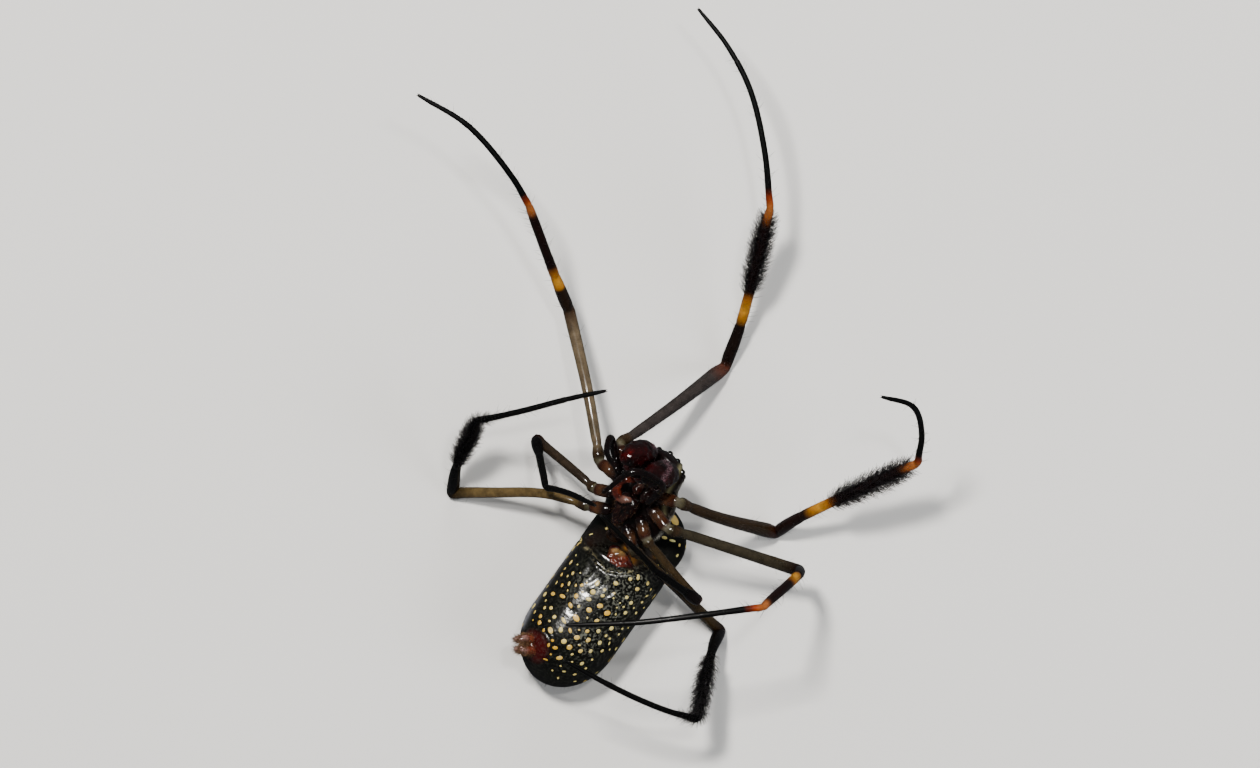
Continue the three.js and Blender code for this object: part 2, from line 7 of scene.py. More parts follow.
import logging
import math
from collections.abc import Callable
from dataclasses import dataclass, field
from enum import Enum
from functools import reduce

import bpy
import numpy as np
from mathutils import Matrix, Vector


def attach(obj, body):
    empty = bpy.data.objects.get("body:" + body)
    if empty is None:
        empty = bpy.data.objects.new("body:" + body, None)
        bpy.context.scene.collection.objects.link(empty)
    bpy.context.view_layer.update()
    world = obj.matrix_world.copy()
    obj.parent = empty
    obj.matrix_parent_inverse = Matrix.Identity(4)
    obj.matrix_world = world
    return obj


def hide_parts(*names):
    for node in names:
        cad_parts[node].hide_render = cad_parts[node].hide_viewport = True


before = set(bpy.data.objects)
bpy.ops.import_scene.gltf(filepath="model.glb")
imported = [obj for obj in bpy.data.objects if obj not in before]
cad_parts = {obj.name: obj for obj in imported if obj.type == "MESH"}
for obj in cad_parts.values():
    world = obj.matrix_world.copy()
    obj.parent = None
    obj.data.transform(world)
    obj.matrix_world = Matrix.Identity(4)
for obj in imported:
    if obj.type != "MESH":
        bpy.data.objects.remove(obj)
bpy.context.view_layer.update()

LOG = logging.getLogger("orb_weaver")

MM = 0.001

# The photograph's size, its scale, and its pixel over the model's origin
PHOTO_SIZE = (1260, 768)
PIXELS_PER_MM = 10.7
ORIGIN_PIXEL = (670.6, 365.8)

# Width of a bristle's patch on the flat
BAKE_PATCH = 0.003

# Where specks start and are full on their noise, and the relief's strength in all cuticles
SPECK_EDGE = (0.5, 0.62)
RELIEF_STRENGTH = 0.8

Color = tuple[float, float, float]
Pixel = tuple[float, float, float]
Socket = bpy.types.NodeSocket
Sockets = bpy.types.bpy_prop_collection
Tree = bpy.types.NodeTree
Material = bpy.types.Material
Object = bpy.types.Object
Section = tuple[np.ndarray, np.ndarray, np.ndarray, float]
Stations = tuple[tuple[float, float, float, float], ...]
Waists = tuple[tuple[float, float, float], ...]


def photo_point(pixel: Pixel) -> np.ndarray:
    """Place a point of the photograph at a height over the floor.

    Args:
        pixel: x and y in the photograph, and the height in millimetres.

    Returns:
        The point in millimetres.
    """
    x, y, height = pixel
    across = (x - ORIGIN_PIXEL[0]) / PIXELS_PER_MM
    up = (ORIGIN_PIXEL[1] - y) / PIXELS_PER_MM
    return np.array([across, up, height])


def srgb(red: int, green: int, blue: int) -> Color:
    """Turn a colour as seen, 0 to 255, into the pigment that gives it in this studio.

    Args:
        red: Red, 0 to 255.
        green: Green, 0 to 255.
        blue: Blue, 0 to 255.

    Returns:
        The linear pigment, a little darker than the colour to make up for the gloss over it.
    """
    shares = [c / 255 for c in (red, green, blue)]
    linear = [c / 12.92 if c <= 0.04045 else ((c + 0.055) / 1.055) ** 2.4 for c in shares]
    pigment = [max(c * (0.62 + 0.33 * c) - 0.004, 0.0012) for c in linear]
    return (pigment[0], pigment[1], pigment[2])


def unit(vector: np.ndarray) -> np.ndarray:
    """Scale vectors along the last axis to length one."""
    return vector / np.maximum(np.linalg.norm(vector, axis=-1, keepdims=True), 1e-12)


def placed(matrix: np.ndarray, points: np.ndarray) -> np.ndarray:
    """Move points by a 4 by 4 matrix."""
    return points @ matrix[:3, :3].T + matrix[:3, 3]


def smooth_step(value: np.ndarray, start: float, end: float) -> np.ndarray:
    """Rise smoothly from 0 at start to 1 at end."""
    share = np.clip((value - start) / (end - start), 0, 1)
    return share * share * (3 - 2 * share)


def bow(offset: np.ndarray, half_length: float, power: float = 2.0) -> np.ndarray:
    """Give an ellipse's height at an offset from its middle, flatter for a larger power."""
    share = np.minimum(np.abs(offset / half_length), 1)
    return (1 - share**power) ** (1 / power)


def bell(offset: np.ndarray, reach: float) -> np.ndarray:
    """Fall from 1 at no offset towards 0 beyond the reach."""
    return np.exp(-((offset / reach) ** 2))


class Region(Enum):
    """The record's material slots, one given to each piece."""

    ABDOMEN = "abdomen_skin"
    SPINNERET = "spinneret_skin"
    JOINT = "joint_skin"
    CARAPACE = "carapace_shell"
    STERNUM = "sternum_shell"
    MOUTH = "mouth_skin"
    JAW = "jaw_shell"
    FOOT = "foot_shell"
    EYE = "eye_lens"
    FEMUR = "femur_shell"
    BRUSH = "brush_shell"


@dataclass
class Surface:
    """A closed surface under construction, in millimetres, with marks at its points.

    Args:
        points: Places of the points.
        faces: Corners of each face.
        uvs: A place on the flat for each corner of each face.
        marks: Named numbers or vectors at the points.
    """

    points: np.ndarray
    faces: list[tuple[int, ...]]
    uvs: list[tuple[float, float]]
    marks: dict[str, np.ndarray] = field(default_factory=dict)

    @classmethod
    def loft(cls, rings: np.ndarray, start: np.ndarray, end: np.ndarray) -> "Surface":
        """Skin rings of like points, with a pole at each end.

        Args:
            rings: Points as rows of rings.
            start: Pole before the first ring.
            end: Pole after the last ring.

        Returns:
            The closed surface, its faces pointing out.
        """
        count, sides = rings.shape[:2]
        points = np.vstack([start[None], rings.reshape(-1, 3), end[None]])
        last = len(points) - 1
        faces: list[tuple[int, ...]] = []
        uvs: list[tuple[float, float]] = []
        for k in range(sides):
            turn, after = k / sides, (k + 1) / sides
            other = (k + 1) % sides
            faces.append((0, 1 + other, 1 + k))
            uvs += [((turn + after) / 2, 0), (after, 1 / (count + 1)), (turn, 1 / (count + 1))]
            for r in range(count - 1):
                a, b = 1 + r * sides, 1 + (r + 1) * sides
                low, high = (r + 1) / (count + 1), (r + 2) / (count + 1)
                faces.append((a + k, a + other, b + other, b + k))
                uvs += [(turn, low), (after, low), (after, high), (turn, high)]
            faces.append((last, last - sides + k, last - sides + other))
            uvs += [((turn + after) / 2, 1), (turn, count / (count + 1)), (after, count / (count + 1))]
        made = cls(points, faces, uvs)
        made.turn_out()
        return made

    def turn_out(self) -> None:
        """Turn the faces over where the surface is inside out."""
        fans = [(f[0], f[i], f[i + 1]) for f in self.faces for i in range(1, len(f) - 1)]
        a, b, c = (self.points[np.array(fans)[:, i]] for i in range(3))
        if np.einsum("ij,ij->i", a, np.cross(b, c)).sum() > 0:
            return
        flat = iter(self.uvs)
        corners = [[next(flat) for _ in f] for f in self.faces]
        self.faces = [tuple(reversed(f)) for f in self.faces]
        self.uvs = [uv for face in corners for uv in reversed(face)]

    def mark(self, name: str, values: np.ndarray) -> None:
        """Store numbers or vectors at the points under a name."""
        self.marks[name] = values

    def groom(self, cover: np.ndarray, reach: np.ndarray | float = 1.0) -> None:
        """Mark how hairs grow, lying backwards where no lie is marked yet.

        Args:
            cover: Share of the coat's density at each point.
            reach: Share of its length there.
        """
        count = len(self.points)
        self.mark("cover", cover)
        self.mark("reach", np.full(count, reach))
        if "lie" not in self.marks:
            self.mark("lie", np.tile(np.array([0.0, -1.0, 0.0]), (count, 1)))

    def moved(self, matrix: np.ndarray) -> "Surface":
        """Return the surface moved by a 4 by 4 matrix, with its vector marks turned.

        Args:
            matrix: The matrix.

        Returns:
            The moved surface.
        """
        turned = {n: v @ matrix[:3, :3].T if v.ndim == 2 else v for n, v in self.marks.items()}
        made = Surface(placed(matrix, self.points), self.faces, self.uvs, turned)
        made.turn_out()
        return made

    def joined(self, other: "Surface") -> "Surface":
        """Return this surface and another as one, for pieces that belong together.

        Args:
            other: The other surface, with the same marks.

        Returns:
            The two as one.
        """
        shift = len(self.points)
        faces = self.faces + [tuple(i + shift for i in f) for f in other.faces]
        marks = {n: np.concatenate([v, other.marks[n]]) for n, v in self.marks.items()}
        return Surface(np.vstack([self.points, other.points]), faces, self.uvs + other.uvs, marks)

    def normals(self) -> np.ndarray:
        """Return the direction outwards at each point.

        Returns:
            The directions as rows.
        """
        total = np.zeros_like(self.points)
        for size in {len(f) for f in self.faces}:
            index = np.array([f for f in self.faces if len(f) == size])
            first = self.points[index[:, 2]] - self.points[index[:, 0]]
            second = self.points[index[:, -1]] - self.points[index[:, 1 if size == 4 else 0]]
            facing = np.cross(first, second)
            for corner in range(size):
                np.add.at(total, index[:, corner], facing)
        return unit(total)

    def to_object(self, name: str, material: Material) -> Object:
        """Make the Blender object, in metres, at the origin.

        Args:
            name: The piece's name.
            material: What it is dressed in.

        Returns:
            The object.
        """
        mesh = bpy.data.meshes.new(name)
        mesh.from_pydata((self.points * MM).tolist(), [], self.faces)
        layer = mesh.uv_layers.new(name="UVMap")
        layer.data.foreach_set("uv", np.array(self.uvs, np.float32).ravel())
        for label, values in self.marks.items():
            kind = "FLOAT_VECTOR" if values.ndim == 2 else "FLOAT"
            attribute = mesh.attributes.new(label, kind, "POINT")
            attribute.data.foreach_set(
                "vector" if values.ndim == 2 else "value", values.astype(np.float32).ravel()
            )
        mesh.polygons.foreach_set("use_smooth", [True] * len(mesh.polygons))
        mesh.materials.append(material)
        mesh.validate()
        mesh.update()
        made = bpy.data.objects.new(name, mesh)
        bpy.context.scene.collection.objects.link(made)
        return made


@dataclass
class Piece:
    """A finished piece and what it stands for.

    Args:
        made: The Blender object.
        slot: The record's slot for it; not used.
        nodes: The frame's nodes that it replaces.
    """

    made: Object
    slot: Region
    nodes: tuple[str, ...] = ()

    def settle(self) -> None:
        """Tie the piece to the frame and report it."""
        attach(self.made, "root")
        if self.nodes:
            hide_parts(*self.nodes)
        LOG.info("%s: %d faces", self.made.name, len(self.made.data.polygons))


def enabled(sockets: Sockets, name: str) -> Socket:
    """Find the socket of a name that is in use, where a node has several of that name."""
    return next(s for s in sockets if s.name == name and s.enabled)


class Sketch:
    """A node tree under construction, with short words for the nodes that are used most."""

    def __init__(self, tree: Tree) -> None:
        """Take the tree to draw in."""
        self.tree = tree

    def add(self, kind: str, settings: dict[str, object] | None = None, **values: object) -> bpy.types.Node:
        """Add a node, set its properties, and set or link its inputs.

        Args:
            kind: The node's type name.
            settings: Properties of the node itself.
            values: Inputs by name with _ for a space, each a value or a socket to link.

        Returns:
            The node.
        """
        node = self.tree.nodes.new(kind)
        for name, value in (settings or {}).items():
            setattr(node, name, value)
        for name, value in values.items():
            self.feed(enabled(node.inputs, name.replace("_", " ")), value)
        return node

    def feed(self, target: Socket, value: object) -> None:
        """Link a socket to an input, or set the input to a value.

        Args:
            target: The input.
            value: The value, or the socket to link.
        """
        if isinstance(value, Socket):
            self.tree.links.new(value, target)
        elif isinstance(value, tuple) and len(value) == 3 and target.type == "RGBA":
            target.default_value = (*value, 1.0)
        else:
            target.default_value = value

    def math(self, operation: str, first: object, second: object = 0.0) -> Socket:
        """Add a Math node and return what it gives.

        Args:
            operation: What it does.
            first: Its first value or socket.
            second: Its second one.

        Returns:
            The result.
        """
        node = self.add("ShaderNodeMath", {"operation": operation})
        self.feed(node.inputs[0], first)
        self.feed(node.inputs[1], second)
        return node.outputs[0]

    def vector(self, operation: str, first: object, second: object) -> Socket:
        """Add a Vector Math node and return what it gives.

        Args:
            operation: What it does.
            first: Its vector.
            second: Its other vector, or its scale.

        Returns:
            The result.
        """
        node = self.add("ShaderNodeVectorMath", {"operation": operation})
        self.feed(node.inputs[0], first)
        self.feed(node.inputs["Scale"] if operation == "SCALE" else node.inputs[1], second)
        return enabled(node.outputs, "Vector")

    def joined(self, x: object = 0.0, y: object = 0.0, z: object = 0.0) -> Socket:
        """Join three numbers into a vector."""
        return self.add("ShaderNodeCombineXYZ", None, X=x, Y=y, Z=z).outputs[0]

    def mix(self, share: object, first: object, second: object) -> Socket:
        """Mix two colours and return the result."""
        node = self.add("ShaderNodeMix", {"data_type": "RGBA"}, Factor=share, A=first, B=second)
        return enabled(node.outputs, "Result")

    def spread(self, value: object, low: float, high: float, start: float, end: float) -> Socket:
        """Map a value's range from low and high to start and end.

        Args:
            value: The value.
            low: Where it starts.
            high: Where it ends.
            start: What its start becomes.
            end: What its end becomes.

        Returns:
            The mapped value.
        """
        node = self.add(
            "ShaderNodeMapRange", None, Value=value, From_Min=low, From_Max=high, To_Min=start, To_Max=end
        )
        return node.outputs["Result"]

    def attribute(self, name: str) -> Socket:
        """Read a mark of the piece's points."""
        return self.add("ShaderNodeAttribute", {"attribute_name": name}).outputs["Fac"]

    def noise(self, scale: object, detail: float) -> Socket:
        """Add a noise on the object's own coordinates."""
        place = self.add("ShaderNodeTexCoord").outputs["Object"]
        return self.add("ShaderNodeTexNoise", None, Vector=place, Scale=scale, Detail=detail).outputs["Fac"]

    def shared(self, effect: "Effect", scale: float) -> Socket:
        """Place a shared effect at a scale and return what it gives."""
        group = SharedEffects.group(effect)
        return self.add("ShaderNodeGroup", {"node_tree": group}, Scale=scale).outputs[0]


class Effect(Enum):
    """The shared effects, each by the name of what it gives."""

    MOTTLE = "Mask"
    GRAIN = "Height"


class SharedEffects:
    """Shader node groups that several finishes use, each built once."""

    made: dict[Effect, bpy.types.ShaderNodeTree] = {}

    @classmethod
    def group(cls, effect: Effect) -> bpy.types.ShaderNodeTree:
        """Return a shared effect, built at its first use.

        Args:
            effect: Which one.

        Returns:
            The node group, from a scale to a mask or a height.
        """
        if effect not in cls.made:
            tree = bpy.data.node_groups.new(effect.name.lower(), "ShaderNodeTree")
            tree.interface.new_socket("Scale", in_out="INPUT", socket_type="NodeSocketFloat")
            tree.interface.new_socket(effect.value, in_out="OUTPUT", socket_type="NodeSocketFloat")
            scale = tree.nodes.new("NodeGroupInput").outputs["Scale"]
            sink = tree.nodes.new("NodeGroupOutput").inputs[effect.value]
            sketch = Sketch(tree)
            draw = cls.mottle if effect is Effect.MOTTLE else cls.grain
            sketch.feed(sink, draw(sketch, scale))
            cls.made[effect] = tree
        return cls.made[effect]

    @staticmethod
    def mottle(sketch: Sketch, scale: Socket) -> Socket:
        """Draw uneven pigment: a mask of soft patches with finer flecks in it.

        Args:
            sketch: The group's tree.
            scale: Patches to a metre.

        Returns:
            The mask.
        """
        broad = sketch.math("MULTIPLY", sketch.noise(scale, 3.0), 0.65)
        fleck = sketch.math("MULTIPLY", sketch.noise(sketch.math("MULTIPLY", scale, 4.3), 2.0), 0.35)
        return sketch.spread(sketch.math("ADD", broad, fleck), 0.36, 0.64, 0.0, 1.0)

    @staticmethod
    def grain(sketch: Sketch, scale: Socket) -> Socket:
        """Draw a cuticle's fine relief: small cells with shallow unevenness over them.

        Args:
            sketch: The group's tree.
            scale: Cells to a metre.

        Returns:
            The height.
        """
        place = sketch.add("ShaderNodeTexCoord").outputs["Object"]
        cells = sketch.add("ShaderNodeTexVoronoi", None, Vector=place, Scale=scale).outputs["Distance"]
        waves = sketch.noise(sketch.math("MULTIPLY", scale, 0.22), 3.0)
        return sketch.math("ADD", sketch.math("MULTIPLY", cells, 0.45), waves)


class Dressing:
    """What all finishes share: a material of their own, built once."""

    def material(self) -> Material:
        """Return the material, built at its first use.

        Returns:
            The material.
        """
        label = "dress_" + self.name
        if label not in bpy.data.materials:
            made = bpy.data.materials.new(label)
            made.use_nodes = True
            sketch = Sketch(made.node_tree)
            shader = made.node_tree.nodes["Principled BSDF"]
            for name, value in self.drawn(sketch).items():
                sketch.feed(shader.inputs[name], value)
        return bpy.data.materials[label]


@dataclass(frozen=True)
class Finish(Dressing):
    """A cuticle's finish: uneven ground, bands along a limb, patches, gloss and grain.

    Args:
        name: The material's name.
        ground: The darker and the lighter tone of the ground.
        bands: Colours along the limb by place, where the piece has that mark.
        patches: Colours laid over the ground, each by the mark that says where.
        mottle: Patches of tone to a metre.
        depth: How far the darker tone is mixed into bands and patches.
        roughness: The roughness where it is glossiest and where it is dullest.
        grain: Cells of the relief to a metre.
        relief: Depth of the relief in millimetres.
        coat: Weight of the clear layer on top.
        specular: Strength of the mirrored light under it.
        specks: Fine specks of a colour, each by mark, colour and specks to a metre.
        shine: Mark that says where it is glossy, where the gloss differs along the piece.
        dulling: Roughness added where that mark is nought.
    """

    name: str
    ground: tuple[Color, Color]
    bands: tuple[tuple[float, Color], ...] = ()
    patches: tuple[tuple[str, Color], ...] = ()
    mottle: float = 900.0
    depth: float = 0.35
    roughness: tuple[float, float] = (0.25, 0.42)
    grain: float = 14000.0
    relief: float = 0.012
    coat: float = 0.25
    specular: float = 0.5
    specks: tuple[tuple[str, Color, float], ...] = ()
    shine: str = ""
    dulling: float = 0.26

    def drawn(self, sketch: Sketch) -> dict[str, object]:
        """Draw the finish's nodes.

        Args:
            sketch: The material's tree.

        Returns:
            What goes into the shader's inputs, by name.
        """
        mask = sketch.shared(Effect.MOTTLE, self.mottle)
        color = self.banded(sketch, mask) if self.bands else sketch.mix(mask, *self.ground)
        for name, tone in self.patches:
            darker = tuple(c * (1 - self.depth) for c in tone)
            color = sketch.mix(sketch.attribute(name), color, sketch.mix(mask, darker, tone))
        for name, tone, scale in self.specks:
            speck = sketch.spread(sketch.noise(scale, 2.0), *SPECK_EDGE, 0.0, 1.0)
            color = sketch.mix(sketch.math("MULTIPLY", speck, sketch.attribute(name)), color, tone)
        rough = sketch.spread(mask, 0.0, 1.0, *self.roughness)
        coat: object = self.coat
        if self.shine:
            glossy = sketch.attribute(self.shine)
            dull = sketch.math("MULTIPLY", sketch.math("SUBTRACT", 1.0, glossy), self.dulling)
            rough = sketch.math("ADD", rough, dull)
            coat = sketch.math("MULTIPLY", glossy, self.coat)
        height = sketch.shared(Effect.GRAIN, self.grain)
        depth = self.relief * MM
        bump = sketch.add("ShaderNodeBump", None, Height=height, Strength=RELIEF_STRENGTH, Distance=depth)
        return {
            "Base Color": color,
            "Roughness": rough,
            "Coat Weight": coat,
            "Coat Roughness": 0.08,
            "Specular IOR Level": self.specular,
            "Normal": bump.outputs["Normal"],
        }

    def banded(self, sketch: Sketch, mask: Socket) -> Socket:
        """Colour a limb by place along it, a little darker in patches.

        Args:
            sketch: The material's tree.
            mask: Where the patches are.

        Returns:
            The colour.
        """
        share = sketch.math("DIVIDE", sketch.attribute("place"), LEG_END)
        ramp = sketch.add("ShaderNodeValToRGB", None, Fac=share)
        stops = ramp.color_ramp.elements
        for stop, (place, tone) in zip(stops, (self.bands[0], self.bands[-1])):
            stop.position, stop.color = place / LEG_END, (*tone, 1)
        for place, tone in self.bands[1:-1]:
            stops.new(place / LEG_END).color = (*tone, 1)
        dimmed = sketch.mix(self.depth, ramp.outputs["Color"], self.ground[0])
        return sketch.mix(mask, dimmed, ramp.outputs["Color"])


@dataclass(frozen=True)
class HairFinish(Dressing):
    """A finish for bristles and hairs.

    Args:
        name: The material's name.
        root: Colour at the root.
        tip: Colour at the tip.
        roughness: How dull they are.
    """

    name: str
    root: Color
    tip: Color
    roughness: float = 0.4

    def drawn(self, sketch: Sketch) -> dict[str, object]:
        """Draw the nodes: the tone along each bristle, darker here and there.

        Args:
            sketch: The material's tree.

        Returns:
            The shader's inputs by name.
        """
        color = sketch.mix(sketch.attribute("along_bristle"), self.root, self.tip)
        darker = sketch.mix(0.45, color, (0.0, 0.0, 0.0))
        mask = sketch.shared(Effect.MOTTLE, 2200.0)
        return {"Base Color": sketch.mix(mask, darker, color), "Roughness": self.roughness}


@dataclass(frozen=True)
class LensFinish(Dressing):
    """A clear black lens, for the eyes, or a horny gloss, for fangs and claws.

    Args:
        name: The material's name.
        dark: The darker tone.
        light: The lighter tone.
        roughness: How dull it is.
    """

    name: str
    dark: Color
    light: Color
    roughness: float = 0.06

    def drawn(self, sketch: Sketch) -> dict[str, object]:
        """Draw the nodes: a cloudy tone under a clear layer.

        Args:
            sketch: The material's tree.

        Returns:
            The shader's inputs by name.
        """
        cloud = sketch.noise(1800.0, 2.0)
        return {
            "Base Color": sketch.mix(cloud, self.dark, self.light),
            "Roughness": sketch.spread(cloud, 0.3, 0.7, self.roughness, self.roughness * 1.8),
            "Coat Weight": 1.0,
            "Coat Roughness": 0.02,
        }


class BristleTree(Sketch):
    """Geometry nodes that set tapered bristles over a skin, along its lie, and make them real."""

    inputs = {
        "Density": ("NodeSocketFloat", 1.0e7),
        "Length": ("NodeSocketFloat", 0.001),
        "Variety": ("NodeSocketFloat", 0.3),
        "Slenderness": ("NodeSocketFloat", 0.02),
        "Taper": ("NodeSocketFloat", 0.15),
        "Stand": ("NodeSocketFloat", 0.8),
        "Bend": ("NodeSocketFloat", 0.35),
        "Scatter": ("NodeSocketFloat", 0.25),
        "Seed": ("NodeSocketInt", 0),
        "Finish": ("NodeSocketMaterial", None),
    }
    # Seeds of the two draws, reach of the lie, sides of a cone and its least height over the floor
    scatter_seed = 3
    length_seed = 7
    lean = 1.15
    cone_sides = 3
    floor_gap = 0.01 * MM
    built: bpy.types.GeometryNodeTree | None = None

    @classmethod
    def shared_tree(cls) -> bpy.types.GeometryNodeTree:
        """Return the tree, built at its first use.

        Returns:
            The tree.
        """
        if cls.built is None:
            cls.built = bpy.data.node_groups.new("bristles", "GeometryNodeTree")
            cls(cls.built).build()
        return cls.built

    def build(self) -> None:
        """Draw it with its named inputs: points on the skin, a bent cone at each, realized and dressed."""
        tree = self.tree
        tree.interface.new_socket("Skin", in_out="INPUT", socket_type="NodeSocketGeometry")
        for name, (kind, value) in self.inputs.items():
            socket = tree.interface.new_socket(name, in_out="INPUT", socket_type=kind)
            if value is not None:
                socket.default_value = value
        tree.interface.new_socket("Bristles", in_out="OUTPUT", socket_type="NodeSocketGeometry")
        self.given = given = tree.nodes.new("NodeGroupInput").outputs
        sink = tree.nodes.new("NodeGroupOutput").inputs["Bristles"]
        points = self.add(
            "GeometryNodeDistributePointsOnFaces",
            {"distribute_method": "RANDOM"},
            Mesh=given["Skin"],
            Density=self.math("MULTIPLY", self.named("cover"), given["Density"]),
            Seed=given["Seed"],
        )
        unwrap = self.named("UVMap", "FLOAT_VECTOR")
        grown = self.add(
            "GeometryNodeInstanceOnPoints",
            None,
            Points=self.store(points.outputs["Points"], "root_uv", unwrap, "FLOAT_VECTOR"),
            Instance=self.bristle(),
            Rotation=self.direction(points.outputs["Normal"]),
            Scale=self.size(),
        )
        real = self.add("GeometryNodeRealizeInstances", None, Geometry=grown.outputs["Instances"])
        flat = self.patch_on_the_flat(self.above_floor(real.outputs["Geometry"]))
        dressed = self.add("GeometryNodeSetMaterial", None, Geometry=flat, Material=given["Finish"])
        self.feed(sink, dressed.outputs["Geometry"])

    def named(self, name: str, kind: str = "FLOAT") -> Socket:
        """Read a mark that the skin carries."""
        node = self.add("GeometryNodeInputNamedAttribute", {"data_type": kind}, Name=name)
        return enabled(node.outputs, "Attribute")

    def store(
        self, geometry: Socket, name: str, value: Socket, kind: str = "FLOAT", domain: str = "POINT"
    ) -> Socket:
        """Write a mark on a geometry and return it.

        Args:
            geometry: The geometry.
            name: The mark's name.
            value: Its value.
            kind: Its type.
            domain: What carries it.

        Returns:
            The marked geometry.
        """
        settings = {"data_type": kind, "domain": domain}
        label = "GeometryNodeStoreNamedAttribute"
        node = self.add(label, settings, Geometry=geometry, Name=name, Value=value)
        return node.outputs["Geometry"]

    def direction(self, normal: Socket) -> Socket:
        """Turn each bristle out of the skin, leaning along the lie.

        Args:
            normal: The skin's direction outwards at each root.

        Returns:
            The rotation of each bristle.
        """
        lie = self.named("lie", "FLOAT_VECTOR")
        stand, most = self.given["Stand"], self.given["Scatter"]
        out = self.vector("SCALE", normal, stand)
        along = self.vector("SCALE", lie, self.math("SUBTRACT", self.lean, stand))
        least = self.math("MULTIPLY", most, -1.0)
        jitter = self.add(
            "FunctionNodeRandomValue",
            {"data_type": "FLOAT_VECTOR"},
            Min=self.joined(least, least, least),
            Max=self.joined(most, most, most),
            Seed=self.scatter_seed,
        )
        aim = self.vector("ADD", self.vector("ADD", out, along), enabled(jitter.outputs, "Value"))
        upright = self.add("FunctionNodeAlignRotationToVector", {"axis": "Z"}, Vector=aim)
        settings = {"axis": "Y", "pivot_axis": "Z"}
        upright_at = upright.outputs["Rotation"]
        forward = self.add("FunctionNodeAlignRotationToVector", settings, Rotation=upright_at, Vector=lie)
        return forward.outputs["Rotation"]

    def size(self) -> Socket:
        """Give each bristle its length: the input, the skin's own share there, and a draw.

        Returns:
            The length.
        """
        least = self.math("SUBTRACT", 1.0, self.given["Variety"])
        kind, seed = {"data_type": "FLOAT"}, self.length_seed
        draw = self.add("FunctionNodeRandomValue", kind, Min=least, Max=1.0, Seed=seed)
        length = self.math("MULTIPLY", self.given["Length"], self.named("reach"))
        return self.math("MULTIPLY", length, enabled(draw.outputs, "Value"))

    def bristle(self) -> Socket:
        """Make one bristle of length one: a slim cone, bent over towards Y.

        Returns:
            The bristle.
        """
        cone = self.add(
            "GeometryNodeMeshCone",
            {"fill_type": "NGON"},
            Vertices=self.cone_sides,
            Side_Segments=3,
            Radius_Top=self.math("MULTIPLY", self.given["Slenderness"], self.given["Taper"]),
            Radius_Bottom=self.given["Slenderness"],
            Depth=1.0,
        )
        place = self.add("GeometryNodeInputPosition").outputs["Position"]
        height = self.add("ShaderNodeSeparateXYZ", None, Vector=place).outputs["Z"]
        over = self.math("MULTIPLY", self.math("MULTIPLY", height, height), self.given["Bend"])
        fall = self.math("MULTIPLY", self.math("MULTIPLY", over, self.given["Bend"]), -0.5)
        offset = self.joined(0.0, over, fall)
        bent = self.add("GeometryNodeSetPosition", None, Geometry=cone.outputs["Mesh"], Offset=offset)
        marked = self.store(bent.outputs["Geometry"], "along_bristle", height)
        flat = self.store(marked, "tuft_uv", cone.outputs["UV Map"], "FLOAT2", "CORNER")
        return self.add("GeometryNodeSetShadeSmooth", None, Geometry=flat).outputs["Geometry"]

    def above_floor(self, geometry: Socket) -> Socket:
        """Keep every point of the bristles on or over the floor.

        Args:
            geometry: The bristles.

        Returns:
            The bristles.
        """
        place = self.add("GeometryNodeInputPosition").outputs["Position"]
        parts = self.add("ShaderNodeSeparateXYZ", None, Vector=place).outputs
        kept = self.joined(parts["X"], parts["Y"], self.math("MAXIMUM", parts["Z"], self.floor_gap))
        node = self.add("GeometryNodeSetPosition", None, Geometry=geometry, Position=kept)
        return node.outputs["Geometry"]

    def patch_on_the_flat(self, geometry: Socket) -> Socket:
        """Lay each bristle as a small patch at its root's place on the skin's own unwrap.

        Args:
            geometry: The bristles.

        Returns:
            The bristles, with no other mark left.
        """
        own = self.named("tuft_uv", "FLOAT_VECTOR")
        patch = self.vector("SCALE", self.vector("SUBTRACT", own, (0.5, 0.5, 0.0)), BAKE_PATCH)
        place = self.vector("ADD", self.named("root_uv", "FLOAT_VECTOR"), patch)
        result = self.store(geometry, "OFBake", place, "FLOAT2", "CORNER")
        for name in ("root_uv", "tuft_uv", "UVMap", "lie", "cover", "reach"):
            node = self.add("GeometryNodeRemoveAttribute", None, Geometry=result, Name=name)
            result = node.outputs["Geometry"]
        return result


